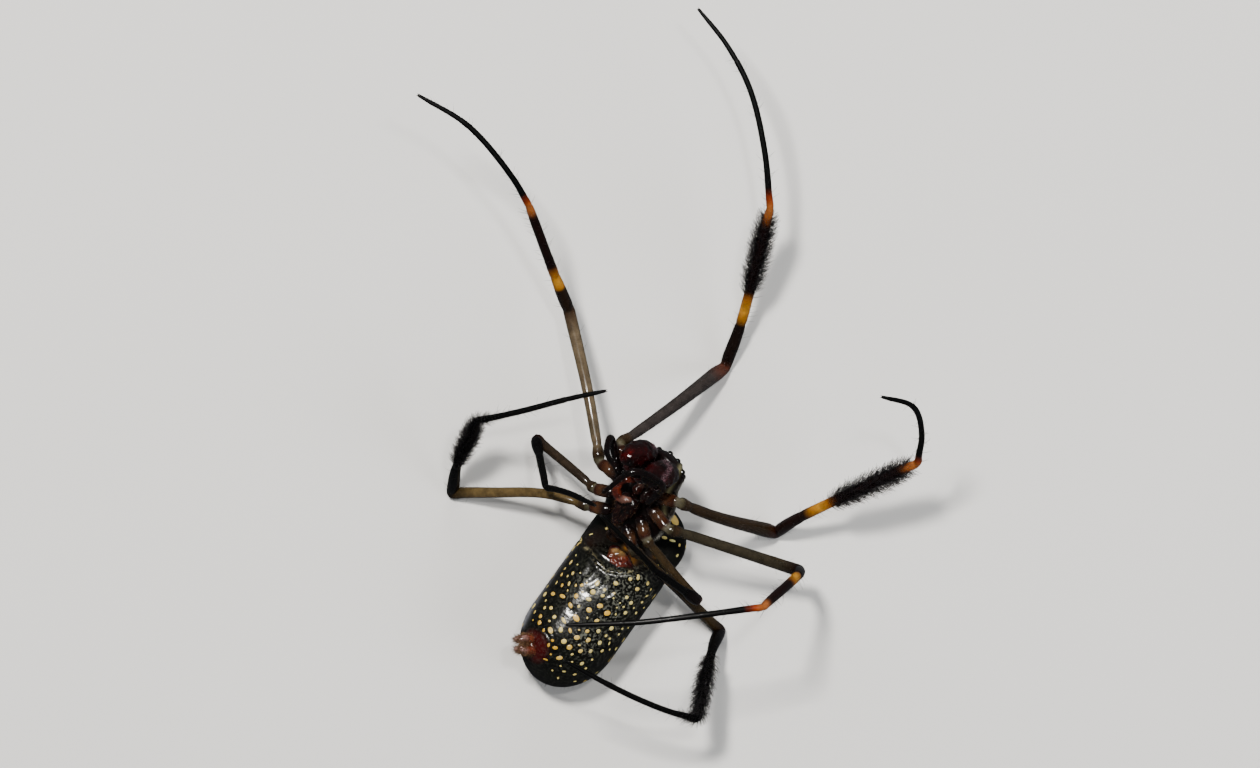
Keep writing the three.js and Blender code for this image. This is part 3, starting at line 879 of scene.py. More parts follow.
@dataclass
class Coat:
    """Bristles over a skin, made by the bristle tree.

    Args:
        name: The piece's name.
        skin: The skin that carries the marks lie, cover and reach.
        finish: What the bristles are dressed in.
        density: Bristles to a square millimetre where the cover is full.
        length: Length in millimetres where the reach is full.
        width: Thickness at the root in millimetres.
        stand: Share that stands out of the skin.
        bend: How far the tip leans over, as a share of the length.
        scatter: How far directions differ.
        variety: How far lengths differ.
        taper: Thickness at the tip as a share of that at the root.
        seed: Seed of every draw.
    """

    name: str
    skin: Object
    finish: HairFinish
    density: float
    length: float
    width: float = 0.04
    stand: float = 0.7
    bend: float = 0.3
    scatter: float = 0.2
    variety: float = 0.35
    taper: float = 0.15
    seed: int = 1

    def build(self) -> Object:
        """Run the tree over the skin and return its result as a plain object.

        Returns:
            The coat's object.
        """
        tree = BristleTree.shared_tree()
        sockets = {s.name: s.identifier for s in tree.interface.items_tree if s.in_out == "INPUT"}
        carrier = bpy.data.objects.new(self.name + "_carrier", self.skin.data)
        bpy.context.scene.collection.objects.link(carrier)
        modifier = carrier.modifiers.new("bristles", "NODES")
        modifier.node_group = tree
        values = {
            "Density": self.density / (MM * MM),
            "Length": self.length * MM,
            "Variety": self.variety,
            "Slenderness": self.width / self.length / 2,
            "Taper": self.taper,
            "Stand": self.stand,
            "Bend": self.bend,
            "Scatter": self.scatter,
            "Seed": self.seed,
            "Finish": self.finish.material(),
        }
        for label, value in values.items():
            modifier[sockets[label]] = value
        bpy.context.view_layer.update()
        graph = bpy.context.evaluated_depsgraph_get()
        mesh = bpy.data.meshes.new_from_object(carrier.evaluated_get(graph), depsgraph=graph)
        mesh.name = self.name
        carrier.modifiers.clear()
        bpy.data.objects.remove(carrier)
        made = bpy.data.objects.new(self.name, mesh)
        bpy.context.scene.collection.objects.link(made)
        return made


def through(joints: np.ndarray, share: np.ndarray) -> np.ndarray:
    """Follow a centripetal Catmull-Rom curve through joints.

    Args:
        joints: The joints, as rows.
        share: Places along it, 0 to 1, by joint.

    Returns:
        The points at those places.
    """
    before = 2 * joints[0] - joints[1]
    after = 2 * joints[-1] - joints[-2]
    padded = np.vstack([before, joints, after])
    spans = len(joints) - 1
    at = np.clip(share * spans, 0, spans - 1e-9)
    first = np.floor(at).astype(int)
    t = (at - first)[:, None]
    p = [padded[first + i] for i in range(4)]
    step = [np.linalg.norm(p[i + 1] - p[i], axis=1, keepdims=True) ** 0.5 for i in range(3)]
    start = (p[1] - p[0]) / step[0] - (p[2] - p[0]) / (step[0] + step[1]) + (p[2] - p[1]) / step[1]
    end = (p[2] - p[1]) / step[1] - (p[3] - p[1]) / (step[1] + step[2]) + (p[3] - p[2]) / step[2]
    start, end = start * step[1], end * step[1]
    square, cube = t * t, t * t * t
    c2 = 3 * (p[2] - p[1]) - 2 * start - end
    c3 = 2 * (p[1] - p[2]) + start + end
    return p[1] + start * t + c2 * square + c3 * cube


@dataclass
class Line:
    """A limb's middle line: evenly spread points with a place along the limb at each.

    Args:
        points: The points in millimetres.
        places: A number at each that says which segment it is in and how far along it.
    """

    points: np.ndarray
    places: np.ndarray

    @classmethod
    def of(cls, stretches: list[tuple[np.ndarray, list[float]]], spacing: float, fillet: float) -> "Line":
        """Chain stretches into one line, with its corners rounded.

        Args:
            stretches: Joints of each stretch, and the places at its evenly spread shares.
            spacing: Distance from point to point.
            fillet: How widely a corner is rounded.

        Returns:
            The line, which still passes through the ends of each stretch.
        """
        points, places = [], []
        for joints, marks in stretches:
            fine = through(joints, np.linspace(0, 1, 200))
            run = np.concatenate([[0], np.cumsum(np.linalg.norm(np.diff(fine, axis=0), axis=1))])
            count = max(int(run[-1] / spacing), 2)
            even = np.linspace(0, run[-1], count, endpoint=False)
            points.append(np.stack([np.interp(even, run, fine[:, i]) for i in range(3)], axis=1))
            shares = np.linspace(0, 1, len(marks))
            places.append(np.interp(even / run[-1], shares, marks))
        points.append(stretches[-1][0][-1:])
        places.append(np.array([stretches[-1][1][-1]]))
        rough = cls(np.vstack(points), np.concatenate(places))
        corners = np.cumsum([len(p) for p in points[:-2]])
        return rough.rounded(spacing, fillet, corners)

    def rounded(self, spacing: float, fillet: float, corners: np.ndarray) -> "Line":
        """Round the corners and bring the line back through them.

        Args:
            spacing: Distance from point to point.
            fillet: How widely a corner is rounded.
            corners: Which points are corners.

        Returns:
            The rounded line.
        """
        reach = max(int(3 * fillet / spacing), 1)
        weights = np.exp(-0.5 * (np.arange(-reach, reach + 1) * spacing / fillet) ** 2)
        weights /= weights.sum()
        before = 2 * self.points[0] - self.points[reach:0:-1]
        after = 2 * self.points[-1] - self.points[-2 : -reach - 2 : -1]
        long = np.vstack([before, self.points, after])
        soft = np.stack([np.convolve(long[:, i], weights, "valid") for i in range(3)], axis=1)
        index = np.arange(len(soft))
        for corner in corners:
            back = self.points[corner] - soft[corner]
            near = np.exp(-0.5 * ((index - corner) * spacing / (2.2 * fillet)) ** 2)
            soft = soft + near[:, None] * back
        return Line(soft, self.places)

    def directions(self) -> np.ndarray:
        """Return the direction along the line at each point."""
        return unit(np.gradient(self.points, axis=0))

    def skin(self, radii: np.ndarray, sides: int, roundness: float = 1.0) -> Surface:
        """Skin the line with rings of given radii and rounded ends.

        Args:
            radii: Radius at each point.
            sides: Sides of a ring.
            roundness: How far the ends bulge, as a share of the radius.

        Returns:
            The surface, marked with its place and its lie.
        """
        forward = self.directions()
        start = np.array([0.0, 0.0, 1.0]) if abs(forward[0][2]) < 0.8 else np.array([1.0, 0.0, 0.0])
        normal = unit(start - forward[0] * (start @ forward[0]))
        turns = np.linspace(0, 2 * math.pi, sides, endpoint=False)
        last = len(self.points) - 1
        shares = (0.97, 0.8, 0.5)
        stations = [(0, -share) for share in shares] + [(i, 0.0) for i in range(last + 1)]
        stations += [(last, share) for share in reversed(shares)]
        rings = []
        for i, share in stations:
            if share == 0:
                normal = unit(normal - forward[i] * (normal @ forward[i]))
            middle = self.points[i] + forward[i] * share * roundness * radii[i]
            circle = np.outer(np.cos(turns), normal) + np.outer(np.sin(turns), np.cross(forward[i], normal))
            rings.append(middle + radii[i] * math.sqrt(1 - share * share) * circle)
        first_pole = self.points[0] - forward[0] * roundness * radii[0]
        last_pole = self.points[-1] + forward[last] * roundness * radii[-1]
        made = Surface.loft(np.array(rings), first_pole, last_pole)
        at = np.array([i for i, _ in stations])
        at = np.concatenate([[0], np.repeat(at, sides), [last]])
        made.mark("place", self.places[at])
        made.mark("lie", forward[at])
        return made


def waisted(widths: np.ndarray, places: np.ndarray, waists: Waists) -> np.ndarray:
    """Narrow a limb at its joints.

    Args:
        widths: Its widths.
        places: Its place at each of them.
        waists: Each joint's place, how much narrower the limb is there, and its reach along the limb.

    Returns:
        The narrowed widths.
    """
    for joint, depth, reach in waists:
        widths = widths * (1 - depth * bell(places - joint, reach))
    return widths


def limb(
    joints: list[np.ndarray],
    radii: tuple[float, ...],
    sides: int,
    spacing: float,
    fillet: float,
    roundness: float = 1.0,
    waists: Waists = (),
) -> Surface:
    """Skin a limb through joints, with a radius at each.

    Args:
        joints: The joints, from its base.
        radii: Radius at each of them.
        sides: Points of a ring.
        spacing: Distance between rings.
        fillet: How widely a corner is rounded.
        roundness: How far the ends bulge, as a share of the radius.
        waists: Narrow places, as in waisted.

    Returns:
        The surface, marked with its place and its lie.
    """
    line = Line.of([(np.array(joints), list(range(len(joints))))], spacing, fillet)
    along = np.interp(line.places, range(len(radii)), radii)
    return line.skin(waisted(along, line.places, waists), sides, roundness)


# Places along a leg: each segment runs from its own number to the next
COXA, TROCHANTER, FEMUR, PATELLA, TIBIA, METATARSUS, TARSUS, LEG_END = range(8)


@dataclass(frozen=True)
class Frames:
    """Where the two halves of the body stand, as matrices in millimetres."""

    prosoma_pixel: Pixel = (639, 498, 8.4)
    yaw: float = -34.8
    pitch: float = 25.0
    roll: float = 22.0
    abdomen_pixel: Pixel = (592, 604, 0.0)
    abdomen_yaw: float = -35.4

    def prosoma(self) -> np.ndarray:
        """Return the cephalothorax's matrix: +Y to its front, +Z to its belly, +X to its left.

        Returns:
            The matrix.
        """
        turn = (
            Matrix.Rotation(math.radians(self.yaw), 4, "Z")
            @ Matrix.Rotation(math.radians(self.pitch), 4, "X")
            @ Matrix.Rotation(math.radians(-self.roll), 4, "Y")
        )
        return self.at(turn, self.prosoma_pixel)

    def abdomen(self) -> np.ndarray:
        """Return the abdomen's matrix, with the same directions."""
        return self.at(Matrix.Rotation(math.radians(self.abdomen_yaw), 4, "Z"), self.abdomen_pixel)

    @staticmethod
    def at(turn: Matrix, pixel: Pixel) -> np.ndarray:
        """Join a turn and a place into one matrix.

        Args:
            turn: The turn.
            pixel: The place.

        Returns:
            The matrix.
        """
        matrix = np.array(turn, float)
        matrix[:3, 3] = photo_point(pixel)
        return matrix


FRAMES = Frames()


def ball(steps: int, sides: int) -> np.ndarray:
    """Lay rings round a ball of radius one, from below.

    Args:
        steps: Rings from pole to pole.
        sides: Points of a ring.

    Returns:
        The rings.
    """
    rise = -np.cos(np.pi * np.arange(1, steps) / steps)
    turn = 2 * np.pi * np.arange(sides) / sides
    flat = np.sqrt(1 - rise**2)[:, None]
    around = [flat * np.cos(turn), flat * np.sin(turn), np.broadcast_to(rise[:, None], (steps - 1, sides))]
    return np.stack(around, axis=-1)


def ellipsoid(middle: np.ndarray, half_sizes: np.ndarray, steps: int, sides: int) -> Surface:
    """Build an ellipsoid.

    Args:
        middle: Its middle.
        half_sizes: Its half sizes.
        steps: Rings from pole to pole.
        sides: Points of a ring.

    Returns:
        The surface.
    """
    pole = np.array([0, 0, half_sizes[2]])
    return Surface.loft(ball(steps, sides) * half_sizes + middle, middle - pole, middle + pole)


@dataclass(frozen=True)
class Bump:
    """A soft swelling or hollow on a body, in the body's own millimetres.

    Args:
        middle: Where it is.
        radii: How far it reaches each way.
        height: How high it rises, or sinks where it is negative.
    """

    middle: tuple[float, float, float]
    radii: tuple[float, float, float]
    height: float

    def at(self, points: np.ndarray) -> np.ndarray:
        """Return how far it lifts each point."""
        share = (points - np.array(self.middle)) / np.array(self.radii)
        return self.height * np.exp(-(share**2).sum(axis=-1))


def near_path(points: np.ndarray, path: list[tuple[float, float]], width: float) -> np.ndarray:
    """Tell how near points are to a path drawn on the belly.

    Args:
        points: The points.
        path: The path's joints by x and y.
        width: How far the nearness reaches.

    Returns:
        One on the path, falling to nought away from it.
    """
    best = np.full(len(points), 1e9)
    flat = points[:, :2]
    for (x0, y0), (x1, y1) in zip(path[:-1], path[1:]):
        start, way = np.array([x0, y0]), np.array([x1 - x0, y1 - y0])
        share = np.clip(((flat - start) @ way) / (way @ way), 0, 1)
        best = np.minimum(best, np.linalg.norm(flat - start - share[:, None] * way, axis=1))
    return bell(best, width)


def dab(points: np.ndarray, pixel: tuple[float, float], radius: float) -> np.ndarray:
    """Tell how near points are to a place of the photograph, seen from above.

    Args:
        points: The points, in the model's own frame.
        pixel: The place.
        radius: How far the nearness reaches in millimetres.

    Returns:
        One at the place, falling to nought away from it.
    """
    middle = photo_point((pixel[0], pixel[1], 0.0))[:2]
    return bell(np.linalg.norm(points[:, :2] - middle, axis=1), radius)


def dabs(points: np.ndarray, places: tuple[tuple[float, float, float], ...]) -> np.ndarray:
    """Join dabs, each by pixel across, pixel down and radius in millimetres.

    Args:
        points: The points.
        places: The dabs.

    Returns:
        The nearness to the nearest one.
    """
    total = np.zeros(len(points))
    for x, y, radius in places:
        total = np.maximum(total, dab(points, (x, y), radius))
    return total


def stroke(points: np.ndarray, pixels: tuple[tuple[float, float], ...], width: float) -> np.ndarray:
    """Tell how near points are to a path drawn on the photograph, seen from above.

    Args:
        points: The points.
        pixels: The path's joints in pixels.
        width: How far the nearness reaches in millimetres.

    Returns:
        The nearness.
    """
    path = [tuple(photo_point((x, y, 0.0))[:2]) for x, y in pixels]
    return near_path(points, path, width)


def facing_up(made: "Surface") -> np.ndarray:
    """Tell which points of a surface face upwards, from nought to one."""
    return smooth_step(made.normals()[:, 2], -0.1, 0.35)


def ripple(points: np.ndarray, spacing: float) -> np.ndarray:
    """Give an uneven relief from -1 to 1 with hollows about a spacing apart in millimetres.

    Args:
        points: The points.
        spacing: The distance.

    Returns:
        The relief at each point.
    """
    ways = np.array([(1.0, 0.3, 0.5), (-0.4, 1.0, 0.2), (0.3, -0.5, 1.0), (0.8, 0.9, -0.6), (-0.9, 0.4, 0.9)])
    waves = points @ ways.T * (2 * math.pi / spacing)
    bent = waves + 1.4 * np.sin(np.roll(waves, 1, axis=-1) * 0.43)
    return np.sin(bent).sum(axis=-1) / 3.2


def roughened(made: "Surface", height: float, spacing: float) -> "Surface":
    """Raise and sink a surface's points unevenly, broad hollows with finer ones on them.

    Args:
        made: The surface.
        height: Height of the relief in millimetres.
        spacing: Distance between its hollows in millimetres.

    Returns:
        The same surface.
    """
    relief = ripple(made.points, spacing) + 0.5 * ripple(made.points + 5.3, spacing * 0.45)
    made.points = made.points + (height * relief)[:, None] * made.normals()
    return made


def body_rings(
    section: Callable[[np.ndarray], Section],
    rear: float,
    front: float,
    steps: int,
    sides: int,
) -> tuple[np.ndarray, np.ndarray]:
    """Lay rings along a body, closer at its ends.

    Args:
        section: Gives half width, top, bottom and squareness at each place along.
        rear: The body's rear end.
        front: Its front end.
        steps: Rings along it.
        sides: Points of a ring.

    Returns:
        The rings, and the direction outwards from the middle line at each of their points.
    """
    y = rear + (front - rear) * (1 - np.cos(np.pi * np.arange(1, steps) / steps)) / 2
    half_width, top, bottom, power = section(y)
    turn = 2 * np.pi * np.arange(sides) / sides
    c, s = np.cos(turn)[None, :], np.sin(turn)[None, :]
    bulge_x = np.sign(c) * np.abs(c) ** (2 / power)
    bulge_z = np.sign(s) * np.abs(s) ** (2 / power)
    x = half_width[:, None] * bulge_x
    z = ((top + bottom) / 2)[:, None] + ((top - bottom) / 2)[:, None] * bulge_z
    rings = np.stack([x, np.broadcast_to(y[:, None], x.shape), z], axis=-1)
    out = unit(np.stack([c * np.ones_like(x), np.zeros_like(x), s * np.ones_like(x)], axis=-1))
    return rings, out


@dataclass
class Abdomen:
    """The long abdomen: glossy skin with pale spots, furrow, epigynum and hairs.

    The sizes are those of the frame's solid, in its own frame.
    """

    rear: float = -8.8
    front: float = 11.7
    half_width: float = 4.47
    depth: float = 7.8
    rear_round: float = 5.4
    front_round: float = 3.75
    rear_height: float = 3.4
    shoulder_height: float = 4.7
    front_height: float = 2.0
    slope_start: float = 4.1
    slope_end: float = 7.0
    flat_sink: float = 0.1
    furrow: tuple[tuple[float, float], ...] = (
        (574, 533), (583, 544), (592, 555), (598, 563), (606, 570),
        (620, 573), (634, 571), (650, 565), (664, 556),
    )

    def section(self, y: np.ndarray) -> Section:
        """Give the section at places along the abdomen.

        Args:
            y: Places along it.

        Returns:
            Half width, top, bottom and squareness.
        """
        stop = self.rear + self.rear_round
        rear = np.where(y < stop, bow(y - self.rear - self.rear_round, self.rear_round), 1)
        start = self.front - self.front_round
        front = np.where(y > start, bow(y - start, self.front_round), 1)
        slope = smooth_step(y, self.slope_start, self.slope_end)
        crown = self.depth + (self.shoulder_height - self.depth) * slope
        level = np.where(y < 0, self.rear_height, self.front_height)
        ends = np.minimum(rear, front)
        top = level + (crown - level) * ends
        bottom = level - (level + self.flat_sink) * bow(1 - ends, 1, 1.6)
        return self.half_width * ends, top, bottom, 2.15

    def surface(self) -> Surface:
        """Build the abdomen's skin with its folds, furrow and marks.

        Returns:
            The skin, in the abdomen's own frame.
        """
        rings, out = body_rings(self.section, self.rear, self.front, 210, 180)
        lift = sum(bump.at(rings) for bump in self.bumps())
        shape = rings.shape
        flat = rings.reshape(-1, 3)
        world = placed(FRAMES.abdomen(), flat)
        furrow = stroke(world, self.furrow, 0.17) * smooth_step(flat[:, 2], 3.2, 4.6)
        folds = self.folds(flat)
        lift = lift + (folds - 0.24 * furrow).reshape(shape[:2])
        rings = rings + out * lift[..., None]
        rings[..., 2] = np.maximum(rings[..., 2], 0)
        start = np.array([0, self.rear, self.rear_height])
        end = np.array([0, self.front, self.front_height])
        made = Surface.loft(rings, start, end)
        self.add_marks(made)
        return made

    @staticmethod
    def bumps() -> list[Bump]:
        """Return the swellings: lung covers, shoulders, the spinnerets' rise and dimples.

        Returns:
            The swellings.
        """
        return [
            Bump((-2.6, 4.9, 7.2), (1.3, 1.2, 2.2), 0.28),
            Bump((2.3, 5.1, 6.9), (1.3, 1.2, 2.2), 0.28),
            Bump((-0.4, 4.9, 7.4), (1.5, 0.9, 1.6), 0.2),
            Bump((-2.0, -6.2, 6.0), (1.9, 1.6, 1.9), 0.35),
            Bump((0.0, 2.2, 8.0), (2.6, 0.7, 2.0), -0.1),
            Bump((-1.2, -1.6, 8.0), (0.35, 0.35, 2.0), -0.08),
            Bump((1.2, -1.6, 8.0), (0.35, 0.35, 2.0), -0.08),
            Bump((-1.0, 0.6, 8.0), (0.3, 0.3, 2.0), -0.07),
            Bump((1.0, 0.6, 8.0), (0.3, 0.3, 2.0), -0.07),
        ]

    @staticmethod
    def folds(points: np.ndarray) -> np.ndarray:
        """Return the height of fine folds: along behind the furrow, and round the spinnerets.

        Args:
            points: The skin's points.

        Returns:
            The height at each.
        """
        x, y, z = points.T
        behind = bell(y - 2.2, 1.5) * smooth_step(z, 4.5, 7.0)
        along = 0.035 * behind * np.sin(x * 6.5 + 1.3 * np.sin(y * 2.1))
        flank = smooth_step(np.abs(x), 3.2, 4.4) * smooth_step(z, 0.8, 2.0) * (1 - smooth_step(z, 5.6, 6.6))
        side = 0.03 * flank * np.sin(z * 5.2 + 0.8 * np.sin(y * 1.3)) * bow(y, 8.0)
        away = np.linalg.norm(points - np.array([-2.0, -6.2, 6.6]), axis=1)
        round_base = 0.04 * bell(away - 1.7, 0.6) * np.sin(away * 14)
        return along + side + round_base

    def add_marks(self, made: Surface) -> None:
        """Mark where the skin is pale, brown or rusty, its silvery specks and painted sheen, and how its
        hairs lie.

        Args:
            made: The skin.
        """
        points = made.points
        x, y, z = points.T
        belly = smooth_step(z, 3.6, 5.6)
        world = placed(FRAMES.abdomen(), points)
        line = 0.8 * stroke(world, self.furrow[1:8], 0.17)
        made.mark("pale", np.clip(belly * line, 0, 1))
        # Silvery specks on the belly: partly the skin's own silver, partly painted sheen where the light
        # falls.
        behind = dabs(world, (
            (606, 577, 0.8), (617, 581, 1.0), (630, 583, 1.2), (642, 577, 1.0), (652, 572, 0.8),
            (645, 592, 0.9), (588, 583, 0.9), (577, 600, 0.9), (600, 590, 0.8), (620, 600, 1.3),
            (610, 620, 1.5), (585, 640, 1.3),
        ))
        # Painted sheen: a pale streak along the left flank, where the light catches the skin.
        edge = stroke(world, ((572, 546), (556, 568), (541, 590), (528, 612), (521, 626)), 0.27)
        made.mark("silver_and_sheen", np.clip(0.6 * behind * belly + 0.06 * belly, 0, 1))
        made.mark("shine", smooth_step(z, 5.4, 7.4))
        made.mark("painted_sheen", np.clip(0.8 * edge * smooth_step(z, 1.6, 3.0), 0, 1))
        brown = dabs(world, ((598, 532, 1.1), (590, 541, 0.7), (648, 552, 1.0), (640, 562, 0.6)))
        made.mark("brown", 0.8 * brown * belly)
        made.mark("ochre", dabs(world, ((656, 557, 0.26), (634, 560, 0.4), (627, 547, 0.3))) * belly)
        away = np.linalg.norm(points - np.array([-2.0, -6.3, 6.4]), axis=1)
        made.mark("rust", 1 - smooth_step(away, 1.1, 1.9))
        cover = np.clip(0.35 + 0.65 * smooth_step(y, -8.8, 0), 0.05, 1)
        made.groom(cover, 0.7 + 0.3 * smooth_step(y, 6, -6))

    def finish(self) -> Finish:
        """Return the skin's finish.

        Returns:
            The finish.
        """
        return Finish(
            "abdomen_skin",
            ground=(srgb(5, 5, 4), srgb(26, 27, 18)),
            patches=(
                ("brown", srgb(44, 28, 20)),
                ("ochre", srgb(176, 122, 34)),
                # The pale sheen patch is a painted highlight along the left flank.
                ("painted_sheen", srgb(156, 158, 166)),
                ("rust", srgb(74, 20, 16)),
            ),
            mottle=900.0, roughness=(0.17, 0.3), grain=3600.0, relief=0.035, coat=0.28, specular=0.3,
            # Silvery specks, partly the skin's own and partly painted sheen.
            specks=(("silver_and_sheen", srgb(132, 133, 122), 4200.0), ("pale", srgb(150, 142, 112), 2600.0)),
            shine="shine", dulling=0.34,
        )

    def build(self) -> list[Piece]:
        """Build the skin, spots, epigynum and hairs.

        Returns:
            The pieces.
        """
        skin = self.surface().moved(FRAMES.abdomen()).to_object("abdomen_skin", self.finish().material())
        spots = SpotPattern(skin).build()
        hairs = Coat(
            "abdomen_hairs", skin, DARK_HAIR, density=7.0, length=0.4, width=0.016,
            stand=0.42, bend=0.3, scatter=0.22, seed=11,
        ).build()
        return [
            Piece(skin, Region.ABDOMEN, ("abdomen",)),
            Piece(spots, Region.ABDOMEN),
            Piece(hairs, Region.ABDOMEN),
            *Epigynum().build(),
        ]


@dataclass(frozen=True)
class Spot:
    """A pale spot of the abdomen, by its place and size in the photograph's pixels.

    Args:
        x: Pixel across.
        y: Pixel down.
        length: Its longer width in pixels.
        width: Its shorter width in pixels.
        turn: How far its longer width is turned from across, in degrees, upwards to the right.
        warmth: Nought for cream to one for orange yellow.
    """

    x: float
    y: float
    length: float
    width: float
    turn: float = 0.0
    warmth: float = 0.5


def spot_row(*rows: tuple[float, ...]) -> list[Spot]:
    """Turn rows of numbers into spots."""
    return [Spot(*row) for row in rows]


# Spots of the belly as the photograph shows them: the large ones, then smaller ones by region
LARGE_SPOTS = spot_row(
    (674.8, 519.6, 15.2, 12.8, -55, 0.62), (664.5, 538, 6.5, 3.6, -10, 0.3),
    (672.5, 541.2, 8, 2.6, -10, 0.05), (679.7, 545.6, 4, 3.2, 80, 0.5), (552.8, 594.1, 6.2, 4.6, -25, 0.8),
    (562.4, 596.5, 7.6, 4.4, -30, 0.8), (576.2, 596.4, 5.8, 4.8, 80, 0.8),
    (575.9, 618.1, 9.4, 6.2, -55, 0.8), (570.3, 605.6, 6.8, 4.2, -65, 0.8), (563.7, 620.6, 8, 4, -60, 0.45),
    (550.3, 630.5, 7.6, 5.4, -65, 0.6), (560.7, 630, 6.6, 4.8, 80, 0.35), (540.3, 616.6, 5, 4.6, 80, 0.85),
    (539.4, 623, 5.4, 4.8, 70, 0.9), (600, 606.2, 6.6, 5, 0, 0.75), (589.2, 610.2, 6.4, 5.6, -20, 0.7),
    (607.3, 613.6, 7.2, 5.6, 10, 0.9), (592.8, 592, 5.6, 5.6, 20, 0.45), (597.1, 583.4, 6.6, 5, 65, 0.45),
    (588.6, 599.4, 6, 4, -15, 0.4), (563.7, 641.7, 6.4, 5.6, 20, 0.45), (576.8, 637.9, 6.6, 5.2, 5, 0.7),
    (588.2, 640.4, 6, 4.4, 35, 0.6), (569.4, 647.6, 6.4, 5.4, 30, 0.75), (555, 648.1, 5.6, 4, -5, 0.95),
    (559.2, 658.3, 7.6, 4.6, 15, 0.75), (570.1, 630.8, 6, 3.6, -70, 0.8),
)
MIDDLE_SPOTS = spot_row(
    (570.7, 562.6, 5.8, 3.4, 65, 0.5), (561.5, 575, 4.6, 3.2, 80, 0.7), (572.6, 573.7, 4.6, 3.2, 75, 0.5),
    (562, 585.6, 4.6, 3.2, 75, 0.8), (568.9, 584, 5.2, 2.8, 85, 0.5), (575.8, 585.6, 3.6, 2.6, 80, 0.6),
    (581.7, 585.3, 4.2, 3.6, 20, 0.7), (550.9, 608.2, 4.6, 4.2, -30, 0.5),
    (544.5, 608.1, 4.2, 3.4, 60, 0.5), (554.1, 617.1, 4.8, 4.4, 30, 0.4),
    (549.3, 621.3, 3.2, 2.8, -40, 0.5), (602.7, 596, 4.6, 3.6, 10, 0.4), (604.5, 590, 3.6, 3.4, 30, 0.4),
    (616, 583.7, 5.4, 4.6, -15, 0.4), (613.8, 593.5, 3.4, 2.8, 20, 0.5), (596.8, 621, 5.8, 3.8, 15, 0.6),
    (611.5, 628.7, 5.2, 4.6, 25, 0.3), (598.5, 631.5, 4.8, 4.4, 35, 0.3), (587.3, 631.5, 4.8, 3.8, 10, 0.7),
    (606, 636.2, 3.4, 3, 40, 0.35), (599.8, 643.2, 5, 4.4, 45, 0.3), (580.5, 651.6, 5.2, 4.2, 25, 0.6),
    (590.7, 651.6, 4.8, 3.8, 40, 0.35), (602.2, 651.3, 4.2, 3.2, 25, 0.4), (548.4, 645.5, 4.6, 3, 70, 0.9),
    (552.2, 640.8, 3.6, 3.2, -20, 0.95), (545.2, 659.8, 5.2, 2.2, -15, 0.9), (581.9, 664, 5, 4.2, 40, 0.35),
    (625.5, 613.2, 4.6, 4.2, 30, 0.3), (631.1, 603.2, 4.4, 4.2, 30, 0.3), (626.8, 597.7, 4.4, 3.8, 20, 0.3),
    (630.3, 579.4, 4.4, 4, 30, 0.4), (637.3, 589.4, 5.2, 4.2, 10, 0.5), (648, 583.6, 5.2, 4.2, 35, 0.4),
    (638.3, 577.3, 7.4, 3.8, 75, 0.4), (534.6, 612.3, 4.6, 3, 65, 0.6), (556.4, 583, 4.6, 2.4, 80, 0.5),
    (543.6, 630.5, 3.8, 2.6, 75, 0.95),
)
SMALL_SPOTS = spot_row(
    (564.7, 569, 3.8, 2.4, 75, 0.5), (567.5, 576.4, 3.2, 2, 80, 0.4), (586.8, 583, 3.2, 1.9, 80, 0.5),
    (567.5, 590.7, 2.8, 1.9, 80, 0.5), (582.4, 592.2, 2.6, 2.3, 0, 0.4), (545.6, 600.9, 3.2, 1.9, 75, 0.4),
    (578.7, 606.6, 3.3, 2.8, 60, 0.4), (587.3, 618.1, 2.6, 1.8, 80, 0.4), (579, 630.2, 2.6, 1.8, 0, 0.6),
    (609.8, 639.1, 2.8, 2.6, 0, 0.3), (609.3, 643.9, 4.4, 2.4, 80, 0.3), (579.2, 645.5, 3.3, 2, -10, 0.5),
    (618.8, 634.9, 3, 2.6, 30, 0.3), (622.3, 629.3, 2.6, 2.6, 0, 0.3), (628.1, 628.5, 2.1, 2.1, 0, 0.3),
    (609.6, 650.1, 2.9, 2.3, 70, 0.3), (572, 654.7, 3.4, 2.5, 20, 0.4), (571.7, 662.5, 3.4, 2.5, 20, 0.4),
    (592.1, 660.2, 2.8, 2.5, 0, 0.4), (585.6, 669, 3.6, 3, 30, 0.4), (560.5, 666.5, 2.6, 1.9, 0, 0.4),
    (552.2, 671, 2.3, 2.3, 0, 0.4), (564.1, 672, 4.4, 2.5, -5, 0.3), (574.6, 675.1, 4.2, 2.8, 10, 0.4),
    (557.9, 678.7, 4.3, 2.5, 80, 0.4), (574.9, 682.1, 3.6, 2, 0, 0.3), (650.9, 590, 3.2, 2.3, 70, 0.4),
    (647, 596.4, 4.4, 1.8, 0, 0.3), (642.1, 602.8, 3.4, 3.3, 0, 0.3), (623.6, 607.2, 3.1, 2, 0, 0.3),
    (636.1, 613.6, 3.6, 3.3, 30, 0.3), (644, 608.3, 2.4, 2, 0, 0.3), (633.8, 608.5, 2.5, 2.5, 0, 0.3),
    (615.7, 614.6, 2.8, 2, 80, 0.3), (575.8, 555.6, 2.4, 2.4, 0, 0.2), (577.3, 564.8, 1.9, 1.8, 0, 0.2),
    (580.2, 573.1, 2, 1.9, 0, 0.2), (532.8, 620.6, 2.4, 2.3, 0, 0.8), (550.7, 654.7, 2.4, 2.2, 0, 0.9),
    (613.5, 598.4, 2.2, 2, 0, 0.3), (620.2, 603.2, 2, 1.8, 0, 0.3), (616.8, 608, 2.2, 1.6, 0, 0.3),
)


